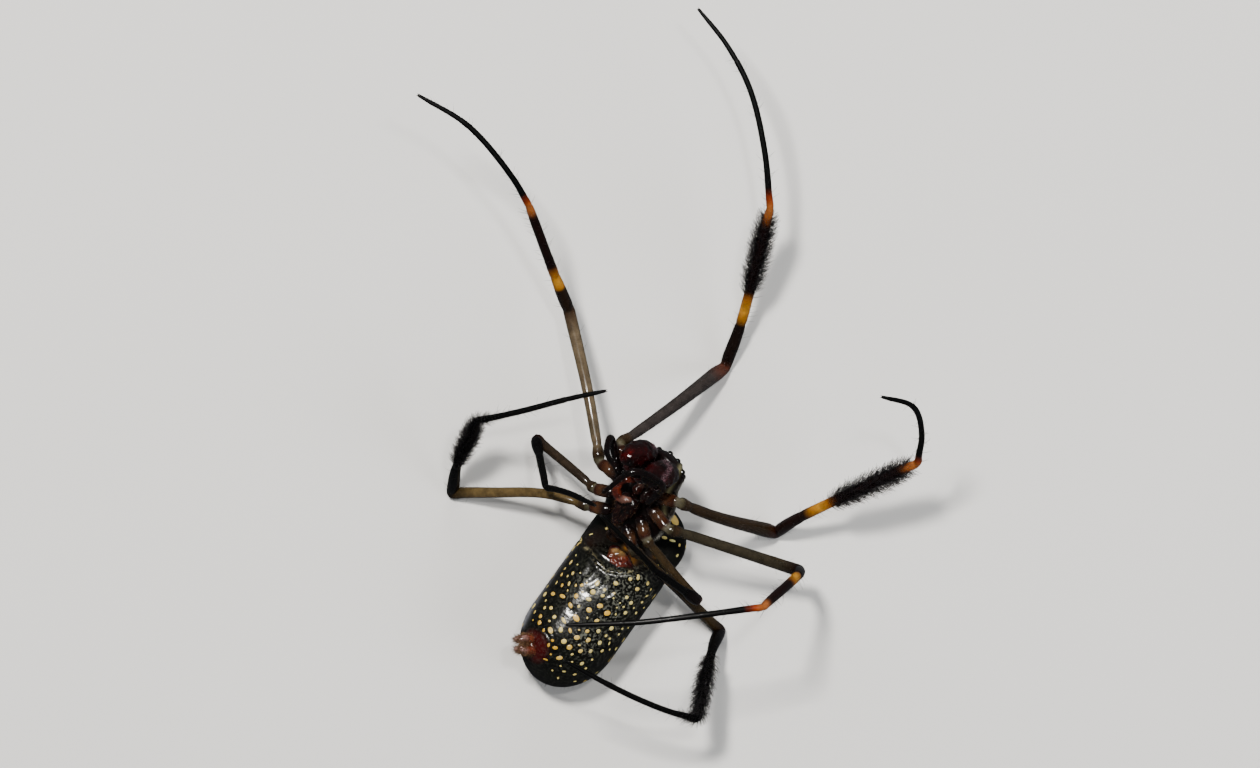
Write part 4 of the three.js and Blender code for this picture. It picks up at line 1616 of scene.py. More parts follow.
class SpotPattern:
    """Pale spots as thin raised patches that follow the skin, on the belly and scattered behind."""

    # Millimetres and shares: where spots are dropped from, then those of the scattered ones
    drop_height = 30.0
    flank_count = 300
    flank_gap = 0.85
    flank_seed = 29
    flank_stretch = (-7.0, 9.5)
    flank_level = 3.4
    flank_clear = 9
    flank_sizes = (0.14, 0.36)
    flank_slims = (0.55, 0.9)
    flank_warmths = (0.2, 0.6)
    lowest = 0.3
    lift = 0.018
    sides = 10

    def __init__(self, skin: Object) -> None:
        """Take the abdomen's skin, which the spots lie on."""
        self.skin = skin

    def build(self) -> Object:
        """Lay each spot on the skin and join them to one piece.

        Returns:
            The piece.
        """
        frame_of = FRAMES.abdomen()
        drawn = [self.belly_patch(s) for s in LARGE_SPOTS + MIDDLE_SPOTS + SMALL_SPOTS]
        patches = [p for p in drawn if p is not None]
        taken = [p.points.mean(axis=0) for p in patches]
        patches += self.flank_patches(frame_of, taken)
        return reduce(Surface.joined, patches).to_object("abdomen_spots", SPOT_FINISH.material())

    def belly_patch(self, spot: Spot) -> Surface | None:
        """Drop a spot of the photograph onto the belly.

        Args:
            spot: The spot.

        Returns:
            Its patch, or none where the skin is not under it.
        """
        above = photo_point((spot.x, spot.y, self.drop_height))
        hit, place, normal, _ = self.skin.ray_cast(Vector(above * MM), Vector((0, 0, -1)))
        if not hit:
            return None
        turn = math.radians(spot.turn)
        along = np.array([math.cos(turn), math.sin(turn), 0.0])
        half = (spot.length / PIXELS_PER_MM / 2, spot.width / PIXELS_PER_MM / 2)
        return self.patch(np.array(place) / MM, np.array(normal), along, half, spot.warmth)

    def flank_patches(self, frame_of: np.ndarray, taken: list[np.ndarray]) -> list[Surface]:
        """Scatter smaller spots over the flanks and back, which the photograph does not show.

        Args:
            frame_of: The abdomen's matrix.
            taken: Middles of the spots that are there already, which new ones stay clear of.

        Returns:
            The patches.
        """
        draw = np.random.default_rng(self.flank_seed)
        made: list[Surface] = []
        for _ in range(self.flank_count):
            y = draw.uniform(*self.flank_stretch)
            turn = draw.uniform(math.radians(195), math.radians(345))
            if draw.uniform() < 0.5:
                turn = draw.choice([draw.uniform(-0.5, 0.5), draw.uniform(math.pi - 0.5, math.pi + 0.5)])
            middle = np.array([0.0, y, self.flank_level])
            way = np.array([math.cos(turn), 0.0, math.sin(turn)])
            start = placed(frame_of, middle + self.flank_clear * way)
            to = -(frame_of[:3, :3] @ way)
            hit, place, normal, _ = self.skin.ray_cast(Vector(start * MM), Vector(to))
            if not hit or place.z < self.lowest * MM:
                continue
            spot = np.array(place) / MM
            if min(np.linalg.norm(spot - other) for other in taken) < self.flank_gap:
                continue
            taken.append(spot)
            along = frame_of[:3, :3] @ np.array([0.2, 1.0, 0.0])
            length = draw.uniform(*self.flank_sizes)
            half = (length, length * draw.uniform(*self.flank_slims))
            warmth = draw.uniform(*self.flank_warmths)
            made.append(self.patch(spot, np.array(normal), along, half, warmth))
        return made

    def patch(
        self,
        place: np.ndarray,
        normal: np.ndarray,
        along: np.ndarray,
        half: tuple[float, float],
        warmth: float,
    ) -> Surface:
        """Make one patch: a thin lens that follows the skin.

        Args:
            place: Its middle.
            normal: The direction outwards there.
            along: The direction of its longer width.
            half: Half of its two widths.
            warmth: Its colour, from cream to orange yellow.

        Returns:
            The patch.
        """
        along = unit(along - normal * (along @ normal))
        across = np.cross(normal, along)
        shares = np.array([0.5, 0.88, 1.0])
        heights = np.array([1.0, 0.7, -1.2]) * self.lift
        wobble_seed = int(abs(place[0] * 1000 + place[1] * 77)) % 1000
        wobble = np.random.default_rng(wobble_seed).uniform(0.86, 1.12, self.sides)
        wobble = (wobble + np.roll(wobble, 1) + np.roll(wobble, -1)) / 3
        turns = np.linspace(0, 2 * math.pi, self.sides, endpoint=False)
        rings = []
        for share, height in zip(shares, heights):
            a = share * half[0] * np.cos(turns) * wobble
            b = share * half[1] * np.sin(turns) * wobble
            flat = place + np.outer(a, along) + np.outer(b, across)
            rings.append(self.on_skin(flat, normal, height))
        top = self.on_skin(place[None], normal, self.lift * 1.05)[0]
        base = self.on_skin(place[None], normal, -self.lift * 1.5)[0]
        made = Surface.loft(np.array(rings), top, base)
        made.mark("warmth", np.full(len(made.points), warmth))
        return made

    def on_skin(self, points: np.ndarray, normal: np.ndarray, height: float) -> np.ndarray:
        """Press points onto the skin and lift them a little.

        Args:
            points: The points.
            normal: The direction outwards.
            height: How far they are lifted.

        Returns:
            The pressed points.
        """
        result = []
        for point in points:
            start = Vector((point + 1.0 * normal) * MM)
            hit, place, facing, _ = self.skin.ray_cast(start, Vector(-normal), distance=3 * MM)
            at = np.array(place) / MM if hit else point
            result.append(at + height * (np.array(facing) if hit else normal))
        return np.array(result)


@dataclass(frozen=True)
class SpotFinish(Dressing):
    """The spots' pigment, from cream to orange yellow.

    Args:
        name: The material's name.
        cream: The palest tone.
        orange: The warmest tone.
    """

    name: str
    cream: Color
    orange: Color

    def drawn(self, sketch: Sketch) -> dict[str, object]:
        """Draw the nodes: each spot's own warmth, dimmer in patches.

        Args:
            sketch: The material's tree.

        Returns:
            The shader's inputs by name.
        """
        mask = sketch.shared(Effect.MOTTLE, 3600.0)
        warm = sketch.mix(sketch.attribute("warmth"), self.cream, self.orange)
        dim = sketch.mix(0.18, warm, srgb(60, 52, 20))
        return {
            "Base Color": sketch.mix(mask, dim, warm),
            "Roughness": sketch.spread(mask, 0.0, 1.0, 0.3, 0.42),
            "Coat Weight": 0.35,
            "Coat Roughness": 0.1,
        }


SPOT_FINISH = SpotFinish("spot_pigment", srgb(226, 222, 158), srgb(222, 176, 40))
GREY_HAIR = HairFinish("grey_hair", srgb(34, 32, 30), srgb(128, 124, 120), 0.35)
DARK_HAIR = HairFinish("dark_hair", srgb(10, 8, 7), srgb(40, 34, 30), 0.38)
# The brush bristles are black; their paler tips are a painted glint.
BRUSH_HAIR = HairFinish("brush_bristle", srgb(14, 12, 12), srgb(70, 67, 68), 0.3)
AMBER_HAIR = HairFinish("amber_hair", srgb(92, 58, 34), srgb(176, 140, 104), 0.4)


@dataclass
class Epigynum:
    """The raised red-orange plate between the lung covers."""

    middle: tuple[float, float, float] = (-0.4, 4.85, 7.15)
    half_sizes: tuple[float, float, float] = (1.4, 0.95, 0.95)
    steps: int = 44
    sides: int = 60

    def build(self) -> list[Piece]:
        """Build the plate with its rim, hollow and tip.

        Returns:
            The plate's piece.
        """
        middle, half_sizes = np.array(self.middle), np.array(self.half_sizes)
        turn = 2 * np.pi * np.arange(self.sides) / self.sides
        wave = 1 + 0.1 * np.sin(3 * turn + 1.0) + 0.06 * np.sin(5 * turn + 2.0)
        out = ball(self.steps, self.sides) * np.stack([wave, wave, np.ones(self.sides)], axis=-1)
        x, y, z = np.moveaxis(out, -1, 0)
        relief = (
            0.1 * bell(np.hypot(x, y) - 0.62, 0.16)
            - 0.22 * bell(x, 0.5) * bell(y + 0.28, 0.28)
            + 0.12 * bell(x, 0.28) * bell(y - 0.55, 0.3)
            + 0.05 * ripple(out * half_sizes, 0.5)
        )
        lift = relief * (z > 0) + 0.04 * np.sin(11 * (x - 0.6 * y)) * (z > 0.2)
        rings = out * (1 + lift[..., None]) * half_sizes + middle
        pole = np.array([0, 0, half_sizes[2]])
        made = Surface.loft(rings, middle - pole, middle + pole)
        local = (made.points - middle) / half_sizes
        world = placed(FRAMES.abdomen(), made.points)
        made.mark("yellow", dabs(world, ((612, 544, 0.5), (617, 548, 0.5), (622, 552, 0.35))))
        edge = smooth_step(np.hypot(local[:, 0], local[:, 1]), 0.8, 0.97)
        made.mark("deep", np.maximum(dab(world, (630, 567), 0.45), edge))
        finish = Finish(
            "epigynum_plate",
            ground=(srgb(60, 20, 14), srgb(124, 56, 38)),
            patches=(("yellow", srgb(192, 158, 100)), ("deep", srgb(66, 14, 14))),
            mottle=1700.0, depth=0.5, roughness=(0.12, 0.26), grain=3400.0, relief=0.04, coat=0.8,
        )
        plate = made.moved(FRAMES.abdomen()).to_object("epigynum", finish.material())
        return [Piece(plate, Region.ABDOMEN)]


@dataclass
class Spinnerets:
    """Spinnerets on their low cone, by radius and place along, in the abdomen's frame."""

    base: tuple[float, float, float] = (-2.0, -6.2, 5.6)
    lean: tuple[float, float, float] = (-0.62, -0.38, 0.69)
    across: tuple[float, float, float] = (0.6, -0.8, 0.0)
    cone: tuple[tuple[float, float], ...] = ((1.2, -0.4), (1.12, 0.2), (1.02, 0.5), (0.86, 0.85), (0.7, 1.05))
    spread: tuple[float, float] = (0.48, 0.38)

    def build(self) -> list[Piece]:
        """Build the cone, the two large pairs and the small pair, with their hairs.

        Returns:
            The pieces.
        """
        axis = unit(np.array(self.lean))
        across = unit(np.array(self.across))
        other = np.cross(axis, across)
        base = np.array(self.base)
        fine = (0.06, 0.08)

        def at(along: float, aside: float = 0.0, up: float = 0.0) -> np.ndarray:
            """Place a point by how far it is along, aside and up."""
            return base + axis * along + across * aside + other * up

        parts = [limb([at(a) for _, a in self.cone], [r for r, _ in self.cone], 40, *fine, 0.4)]
        for side in (-1, 1):
            for level in (-1, 1):
                aside, up = side * self.spread[0], level * self.spread[1]
                bend = 1.15 if level > 0 else 1.02
                joints = [
                    at(0.3, aside, up), at(1.2, aside * 1.08, up * 1.1),
                    at(1.9, aside * bend, up * 1.1), at(2.25, aside * 0.95, up * 0.9),
                ]
                parts.append(limb(joints, (0.42, 0.43, 0.39, 0.22), 26, *fine))
            joints = [at(0.6, side * 0.15, 0.0), at(1.5, side * 0.17, 0.0), at(1.85, side * 0.13, 0.0)]
            parts.append(limb(joints, (0.24, 0.2, 0.08), 18, *fine))
        whole = reduce(Surface.joined, parts)
        finish = Finish(
            "spinneret_skin",
            ground=(srgb(60, 20, 14), srgb(136, 68, 46)),
            patches=(("tips", srgb(176, 144, 138)), ("base", srgb(48, 10, 14))),
            mottle=2100.0, depth=0.6, roughness=(0.22, 0.4), grain=4500.0, relief=0.04, coat=0.4,
        )
        roughened(whole, 0.045, 0.42)
        points = (whole.points - base) @ axis
        whole.mark("tips", 0.8 * smooth_step(points, 1.55, 2.2))
        whole.mark("base", 1 - smooth_step(points, 0.1, 0.75))
        whole.groom(smooth_step(points, 0.2, 0.9), 0.6 + 0.4 * smooth_step(points, 0.5, 2.2))
        made = whole.moved(FRAMES.abdomen()).to_object("spinneret_skin", finish.material())
        hairs = Coat(
            "spinneret_hairs", made, AMBER_HAIR, density=80.0, length=0.55, width=0.045,
            stand=0.55, bend=0.25, scatter=0.5, seed=21,
        ).build()
        return [Piece(made, Region.SPINNERET, ("spinnerets",)), Piece(hairs, Region.SPINNERET)]


@dataclass(frozen=True)
class LegPose:
    """A leg's joints: photograph x, photograph y and height over the floor.

    Args:
        name: The leg's name, such as left_1.
        pair: Which pair it is, from the front.
        side: One for the animal's left, minus one for its right.
        femur: Points that the femur passes.
        knee: The end of the femur.
        patella: The end of the patella.
        ankle: The end of the tibia.
        metatarsus: Points that the metatarsus passes.
        tip: The tip of the tarsus.
    """

    name: str
    pair: int
    side: int
    femur: tuple[Pixel, ...]
    knee: Pixel
    patella: Pixel
    ankle: Pixel
    metatarsus: tuple[Pixel, ...]
    tip: Pixel


LEG_POSES = (
    LegPose(
        "left_1", 1, 1, ((716, 517, 8.4),), (776, 533, 0.58), (802, 517, 4.2), (917, 463, 11.0),
        ((921, 434, 15.2), (911, 406, 20.4)), (881, 397, 24.0),
    ),
    LegPose(
        "right_1", 1, -1, ((674, 406, 5.6),), (725, 367, 0.58), (741, 324, 2.8), (770, 208, 9.4),
        ((764.5, 151, 11.2), (750, 90, 12.4), (727, 46, 13.0)), (699, 10.5, 13.4),
    ),
    LegPose(
        "left_2", 2, 1, ((732, 549, 9.3),), (799, 571, 6.1), (797, 576, 10.0), (762, 606, 19.3),
        ((700, 614, 20.6), (640, 621, 20.3)), (568, 624, 19.2),
    ),
    LegPose(
        "right_2", 2, -1, ((587, 388, 7.1),), (569, 311, 4.9), (555, 276, 7.9), (529, 206, 14.2),
        ((512, 177, 16.4), (469, 127, 18.6)), (420, 97, 19.8),
    ),
    LegPose(
        "left_3", 3, 1, ((670, 569, 8.7),), (697, 600, 6.6), (684, 591, 8.3), (656, 571, 11.4),
        ((640, 554, 13.4),), (602, 516, 16.2),
    ),
    LegPose(
        "right_3", 3, -1, ((565, 463, 6.2),), (537, 440, 3.9), (539, 455, 5.5), (546, 487, 8.8),
        ((569, 493, 12.2),), (595, 505, 15.8),
    ),
    LegPose(
        "left_4", 4, 1, ((676, 588, 6.0),), (720, 632, 0.56), (712, 652, 3.7), (697, 719, 8.3),
        ((668, 711, 10.9), (624, 692, 13.5)), (565, 660, 16.0),
    ),
    LegPose(
        "right_4", 4, -1, ((545, 494, 5.7), (490, 493, 2.7)), (452, 493, 0.56), (456, 467, 3.8),
        (477, 421, 10.0), ((522, 411, 13.2), (568, 399, 15.6)), (605, 391, 17.4),
    ),
)


@dataclass(frozen=True)
class LegBuild:
    """What a pair of legs is like: where it stands on the body, its widths and its brush.

    Args:
        coxa: Where the coxa starts on the cephalothorax, across and along.
        trochanter: Where it ends.
        femur: Diameter of the femur at its base and end.
        tibia: Diameter of the tibia at its base and end.
        brush: Start and end of the tibia's brush by place, or none.
        foot_brush: End of the metatarsus's brush by place, or none.
        brush_length: Length of the brush's bristles in millimetres.
    """

    coxa: tuple[float, float]
    trochanter: tuple[float, float]
    femur: tuple[float, float]
    tibia: tuple[float, float]
    brush: tuple[float, float] | None = None
    foot_brush: float | None = None
    brush_length: float = 1.3


LEG_BUILDS = {
    1: LegBuild((2.35, 2.3), (4.1, 3.3), (1.05, 1.4), (0.95, 0.8), (4.24, 4.95), None, 1.35),
    2: LegBuild((2.35, 0.8), (4.75, 0.6), (1.0, 1.15), (0.9, 0.75)),
    3: LegBuild((2.1, -0.9), (3.6, -1.8), (0.85, 0.9), (0.7, 0.62)),
    4: LegBuild((1.5, -2.5), (3.0, -3.5), (0.9, 1.05), (0.85, 0.75), (4.05, 5.0), 5.34, 1.15),
}

# Diameters that all legs share, in millimetres, and how far the coxae stand over the body's middle
COXA_HEIGHT = 1.45
COXA_DIAMETER = 1.24
TROCHANTER_DIAMETER = 1.15
KNEE_DIAMETER = 1.2
METATARSUS_DIAMETER = 0.58
TARSUS_DIAMETER = 0.5
CLAW_DIAMETER = 0.3

# Each joint's place, how much narrower the leg is there, and how far along
LEG_WAISTS = (
    (1.0, 0.16, 0.09), (2.0, 0.13, 0.04), (3.08, 0.1, 0.1),
    (4.0, 0.1, 0.03), (5.0, 0.12, 0.012), (6.0, 0.12, 0.012),
)


@dataclass
class Leg:
    """One leg from its coxa to its claws, with hairs and, on some pairs, a brush of bristles.

    Args:
        pose: Its joints.
        spacing: Distance between the skin's rings in millimetres.
        sides: Points of a ring.
    """

    pose: LegPose
    spacing: float = 0.13
    sides: int = 20

    def __post_init__(self) -> None:
        """Find the pair's build."""
        self.kind = LEG_BUILDS[self.pose.pair]

    def line(self) -> Line:
        """Chain the leg's segments into one middle line with a place at each point.

        Returns:
            The line.
        """
        matrix = FRAMES.prosoma()

        def on_body(spot: tuple[float, float]) -> np.ndarray:
            """Place a joint on this leg's side of the body."""
            return placed(matrix, np.array([self.pose.side * spot[0], spot[1], COXA_HEIGHT]))

        pose = self.pose
        hip, trochanter = on_body(self.kind.coxa), on_body(self.kind.trochanter)
        knee, patella, ankle, tip = (photo_point(p) for p in (pose.knee, pose.patella, pose.ankle, pose.tip))
        femur = np.array([trochanter, *map(photo_point, pose.femur), knee])
        shank = np.array([knee, patella, ankle])
        foot = np.array([ankle, *map(photo_point, pose.metatarsus), tip])
        share = self.patella_share(shank)
        stretches = [
            (np.array([hip, trochanter]), [COXA, TROCHANTER]),
            (femur, list(np.interp(np.linspace(0, 1, 41), [0, 0.1, 1], [TROCHANTER, FEMUR, PATELLA]))),
            (shank, list(np.interp(np.linspace(0, 1, 81), [0, share, 1], [PATELLA, TIBIA, METATARSUS]))),
            (foot, list(np.interp(np.linspace(0, 1, 81), [0, 0.72, 1], [METATARSUS, TARSUS, LEG_END]))),
        ]
        return Line.of(stretches, self.spacing, 0.3)

    @staticmethod
    def patella_share(shank: np.ndarray) -> float:
        """Tell how much of the stretch from knee to ankle the patella takes up."""
        lengths = np.linalg.norm(np.diff(shank, axis=0), axis=1)
        return float(lengths[0] / lengths.sum())

    def radii(self, places: np.ndarray) -> np.ndarray:
        """Give the limb's radius at each place, with a waist at each joint and fuller ends.

        Args:
            places: The places.

        Returns:
            The radii.
        """
        base, end = self.kind.femur
        shin, shank = self.kind.tibia
        stops = [
            (0.0, COXA_DIAMETER), (0.55, COXA_DIAMETER), (0.92, TROCHANTER_DIAMETER * 0.98),
            (1.0, TROCHANTER_DIAMETER * 0.9), (1.45, TROCHANTER_DIAMETER * 1.02), (1.95, base * 0.94),
            (2.2, base), (2.6, (base + end) / 2), (2.9, end), (3.0, KNEE_DIAMETER),
            (3.5, KNEE_DIAMETER * 0.96), (3.95, shin * 1.08), (4.3, shin), (4.75, shin * 0.98),
            (4.93, shank * 1.06), (5.0, shank * 0.94), (5.08, METATARSUS_DIAMETER * 1.12),
            (5.3, METATARSUS_DIAMETER), (5.97, METATARSUS_DIAMETER * 0.94), (6.03, TARSUS_DIAMETER),
            (6.7, TARSUS_DIAMETER * 0.86), (7.0, CLAW_DIAMETER),
        ]
        widths = np.interp(places, *zip(*stops))
        kernel = np.array([0.25, 0.5, 0.25])
        padded = np.concatenate([widths[:1], widths, widths[-1:]])
        widths = np.convolve(padded, kernel, "valid")
        return waisted(widths, places, LEG_WAISTS) / 2

    def build(self) -> list[Piece]:
        """Build the leg's skin, hairs, brush and claws.

        Returns:
            The pieces.
        """
        name = self.pose.name
        line = self.line()
        made = line.skin(self.radii(line.places), self.sides)
        near_body = 1 - smooth_step(made.marks["place"], 1.2, 2.0)
        relief = 0.045 * near_body * ripple(made.points, 0.7)
        made.points = made.points + relief[:, None] * made.normals()
        made.points[:, 2] = np.maximum(made.points[:, 2], 0.0)
        self.add_marks(made)
        skin = made.to_object(f"leg_skin_{name}", self.finish().material())
        nodes = tuple(f"{part}_{name}" for part in ("coxa", "femur", "tibia", "metatarsus"))
        pieces = [Piece(skin, Region.FEMUR, nodes)]
        pieces += self.hairs(made)
        pieces += self.claws(line)
        return pieces

    def add_marks(self, made: Surface) -> None:
        """Mark how the short hairs grow: thin on the glossy femur, denser on the foot.

        Args:
            made: The leg's surface.
        """
        place = made.marks["place"]
        stops = {
            1: ((0, 1.6), (2, 0.35), (2.1, 1.0), (3, 1.0), (3.5, 0.7), (4.2, 0.6), (5, 0.8), (7, 1.0)),
            2: ((0, 1.6), (2, 0.3), (2.2, 0.15), (3, 0.2), (4, 0.5), (5, 0.8), (7, 1.0)),
            3: ((0, 1.6), (2, 0.3), (2.2, 0.12), (3, 0.2), (4, 0.5), (5, 0.7), (7, 1.0)),
            4: ((0, 1.6), (2, 0.3), (2.2, 0.12), (3, 0.25), (4, 0.8), (5, 1.0), (7, 1.0)),
        }[self.pose.pair]
        reach = np.interp(place, [0, 2, 3, 4, 5, 6, 7], [0.9, 0.8, 0.8, 1.0, 1.0, 0.8, 0.5])
        made.groom(np.interp(place, *zip(*stops)), reach)
        made.mark("shine", np.interp(place, [0, 2.9, 3.3, 4.0, 4.3, 5.2, 7], [1, 1, 0.7, 0.5, 0.3, 0.1, 0.0]))

    def hairs(self, made: Surface) -> list[Piece]:
        """Grow short hairs along the leg, long ones here and there, and the brushes.

        Args:
            made: The leg's surface with its marks.

        Returns:
            The pieces of hair.
        """
        name, pair = self.pose.name, self.pose.pair
        carrier = made.to_object(f"carrier_{name}", DARK_HAIR.material())
        tone = GREY_HAIR if pair == 1 else DARK_HAIR
        number = 100 + 10 * pair + (1 if self.pose.side > 0 else 0)
        short = Coat(
            f"leg_hairs_{name}", carrier, tone, density=11.0, length=0.34, width=0.018,
            stand=0.42, bend=0.3, scatter=0.22, seed=number,
        ).build()
        pieces = [Piece(short, Region.FOOT)]
        place = made.marks["place"]
        carrier.data.attributes["cover"].data.foreach_set("value", self.seta_cover(place))
        setae = Coat(
            f"leg_setae_{name}", carrier, DARK_HAIR, density=1.7, length=1.0, width=0.042,
            stand=0.75, bend=0.18, scatter=0.25, taper=0.25, seed=number + 300,
        ).build()
        pieces.append(Piece(setae, Region.FOOT))
        if self.kind.brush:
            cover, reach = self.brush_marks(place)
            carrier.data.attributes["cover"].data.foreach_set("value", cover.astype(np.float32))
            carrier.data.attributes["reach"].data.foreach_set("value", reach.astype(np.float32))
            brush = Coat(
                f"leg_brush_{name}", carrier, BRUSH_HAIR, density=68.0, length=self.kind.brush_length,
                width=0.072, stand=0.72, bend=0.24, scatter=0.24, variety=0.38, taper=0.3, seed=number + 600,
            ).build()
            pieces.append(Piece(brush, Region.BRUSH))
        bpy.data.objects.remove(carrier)
        return pieces

    @staticmethod
    def seta_cover(place: np.ndarray) -> np.ndarray:
        """Tell where longer single bristles stand: on patella, tibia and foot."""
        cover = smooth_step(place, 2.0, 2.4) * 0.25 + smooth_step(place, 3.4, 4.2) * 0.75
        return (cover * (1 - smooth_step(place, 6.2, 6.9))).astype(np.float32)

    def brush_marks(self, place: np.ndarray) -> tuple[np.ndarray, np.ndarray]:
        """Tell where the brush grows and how long it is there.

        Args:
            place: Place along the leg at each point.

        Returns:
            The cover and the reach.
        """
        start, end = self.kind.brush
        grow = smooth_step(place, start, start + 0.08) * (1 - smooth_step(place, end - 0.04, end))
        reach = 0.6 + 0.4 * np.sin(np.pi * np.clip((place - start) / (end - start), 0.08, 0.92)) ** 0.6
        if self.kind.foot_brush:
            stop = self.kind.foot_brush
            foot = smooth_step(place, METATARSUS, METATARSUS + 0.03)
            foot = foot * (1 - smooth_step(place, METATARSUS + 0.05, stop))
            grow = np.maximum(grow, 0.8 * foot)
            reach = np.where(place > METATARSUS, 0.62 - 0.3 * smooth_step(place, METATARSUS, stop), reach)
        return grow, reach

    def claws(self, line: Line) -> list[Piece]:
        """Build the two claws at the tip.

        Args:
            line: The leg's middle line.

        Returns:
            The claws' piece.
        """
        way = line.directions()[-1]
        side = unit(np.cross(way, np.array([0.0, 0.0, 1.0])))
        down = np.cross(way, side)
        tip = line.points[-1]
        claws = []
        for aside in (-1, 1):
            joints = [
                tip - way * 0.1 + side * aside * 0.04,
                tip + way * 0.14 + side * aside * 0.08 + down * 0.03,
                tip + way * 0.22 + side * aside * 0.09 + down * 0.14,
            ]
            claws.append(limb(joints, (0.055, 0.045, 0.012), 8, 0.03, 0.03))
        made = reduce(Surface.joined, claws).to_object(f"claws_{self.pose.name}", CLAW_FINISH.material())
        return [Piece(made, Region.FOOT)]

    def finish(self) -> Finish:
        """Return the finish of this leg: its colours by place along it.

        Returns:
            The finish.
        """
        black = srgb(14, 12, 12)
        amber, orange = srgb(170, 104, 52), srgb(158, 66, 22)
        # The dark first stop at the coxa's base is painted shade beside the body.
        coxa = ((0.0, srgb(30, 16, 12)), (0.45, srgb(88, 60, 42)), (0.75, srgb(72, 42, 30)))
        trochanter = (
            (0.84, srgb(60, 36, 28)), (0.96, srgb(112, 106, 90)), (1.08, srgb(96, 90, 70)),
            (1.3, srgb(56, 44, 32)), (1.6, srgb(66, 52, 38)),
        )
        upper, knee, patella = LEG_TONES[self.pose.name]
        bands = [*coxa, *trochanter, (2.0, upper), (2.82, upper), (2.97, knee), (3.2, patella)]
        if self.pose.name not in BAND_PLACES:
            bands += [(4.0, black), (4.92, black), (5.3, black)]
        else:
            band_start, band_end = BAND_PLACES[self.pose.name]
            bands += [
                (band_start - 0.04, patella), (band_start + 0.02, srgb(176, 120, 32)),
                ((band_start + band_end) / 2, srgb(198, 146, 44)), (band_end - 0.03, srgb(150, 92, 30)),
                (band_end + 0.03, srgb(34, 24, 24)), (4.86, srgb(38, 24, 22)), (4.93, amber),
                (5.02, amber), (5.05, orange), (5.09, srgb(120, 44, 18)), (5.14, black),
            ]
        bands.append((LEG_END, black))
        return Finish(
            f"leg_{self.pose.name}",
            ground=(srgb(8, 7, 6), srgb(30, 24, 18)),
            bands=tuple(bands),
            mottle=1300.0, depth=0.5, roughness=(0.16, 0.26), grain=6500.0, relief=0.012, coat=0.6,
            specular=0.18, shine="shine",
        )


# Colours of each leg's femur, knee and patella
LEG_TONES = {
    "left_1": (srgb(58, 46, 34), srgb(64, 30, 22), srgb(44, 32, 30)),
    "right_1": (srgb(66, 60, 58), srgb(104, 58, 44), srgb(34, 26, 24)),
    "left_2": (srgb(66, 60, 48), srgb(40, 20, 18), srgb(30, 20, 16)),
    "right_2": (srgb(112, 98, 78), srgb(76, 58, 44), srgb(44, 34, 28)),
    "left_3": (srgb(70, 57, 40), srgb(70, 30, 22), srgb(30, 20, 16)),
    "right_3": (srgb(62, 52, 42), srgb(44, 26, 20), srgb(24, 18, 16)),
    "left_4": (srgb(76, 62, 42), srgb(36, 26, 16), srgb(24, 18, 14)),
    "right_4": (srgb(112, 94, 62), srgb(44, 34, 20), srgb(18, 14, 12)),
}

# Start and end of the yellow band by place, on the legs that have one
BAND_PLACES = {
    "left_1": (4.1, 4.3),
    "right_1": (4.04, 4.26),
    "left_2": (4.04, 4.28),
    "right_2": (3.7, 4.12),
}

CLAW_FINISH = LensFinish("claw_horn", srgb(10, 8, 8), srgb(30, 20, 16), 0.2)
FANG_FINISH = LensFinish("fang_horn", srgb(22, 4, 6), srgb(60, 12, 12), 0.1)
EYE_FINISH = LensFinish("eye_lens", srgb(6, 6, 8), srgb(16, 16, 20), 0.05)


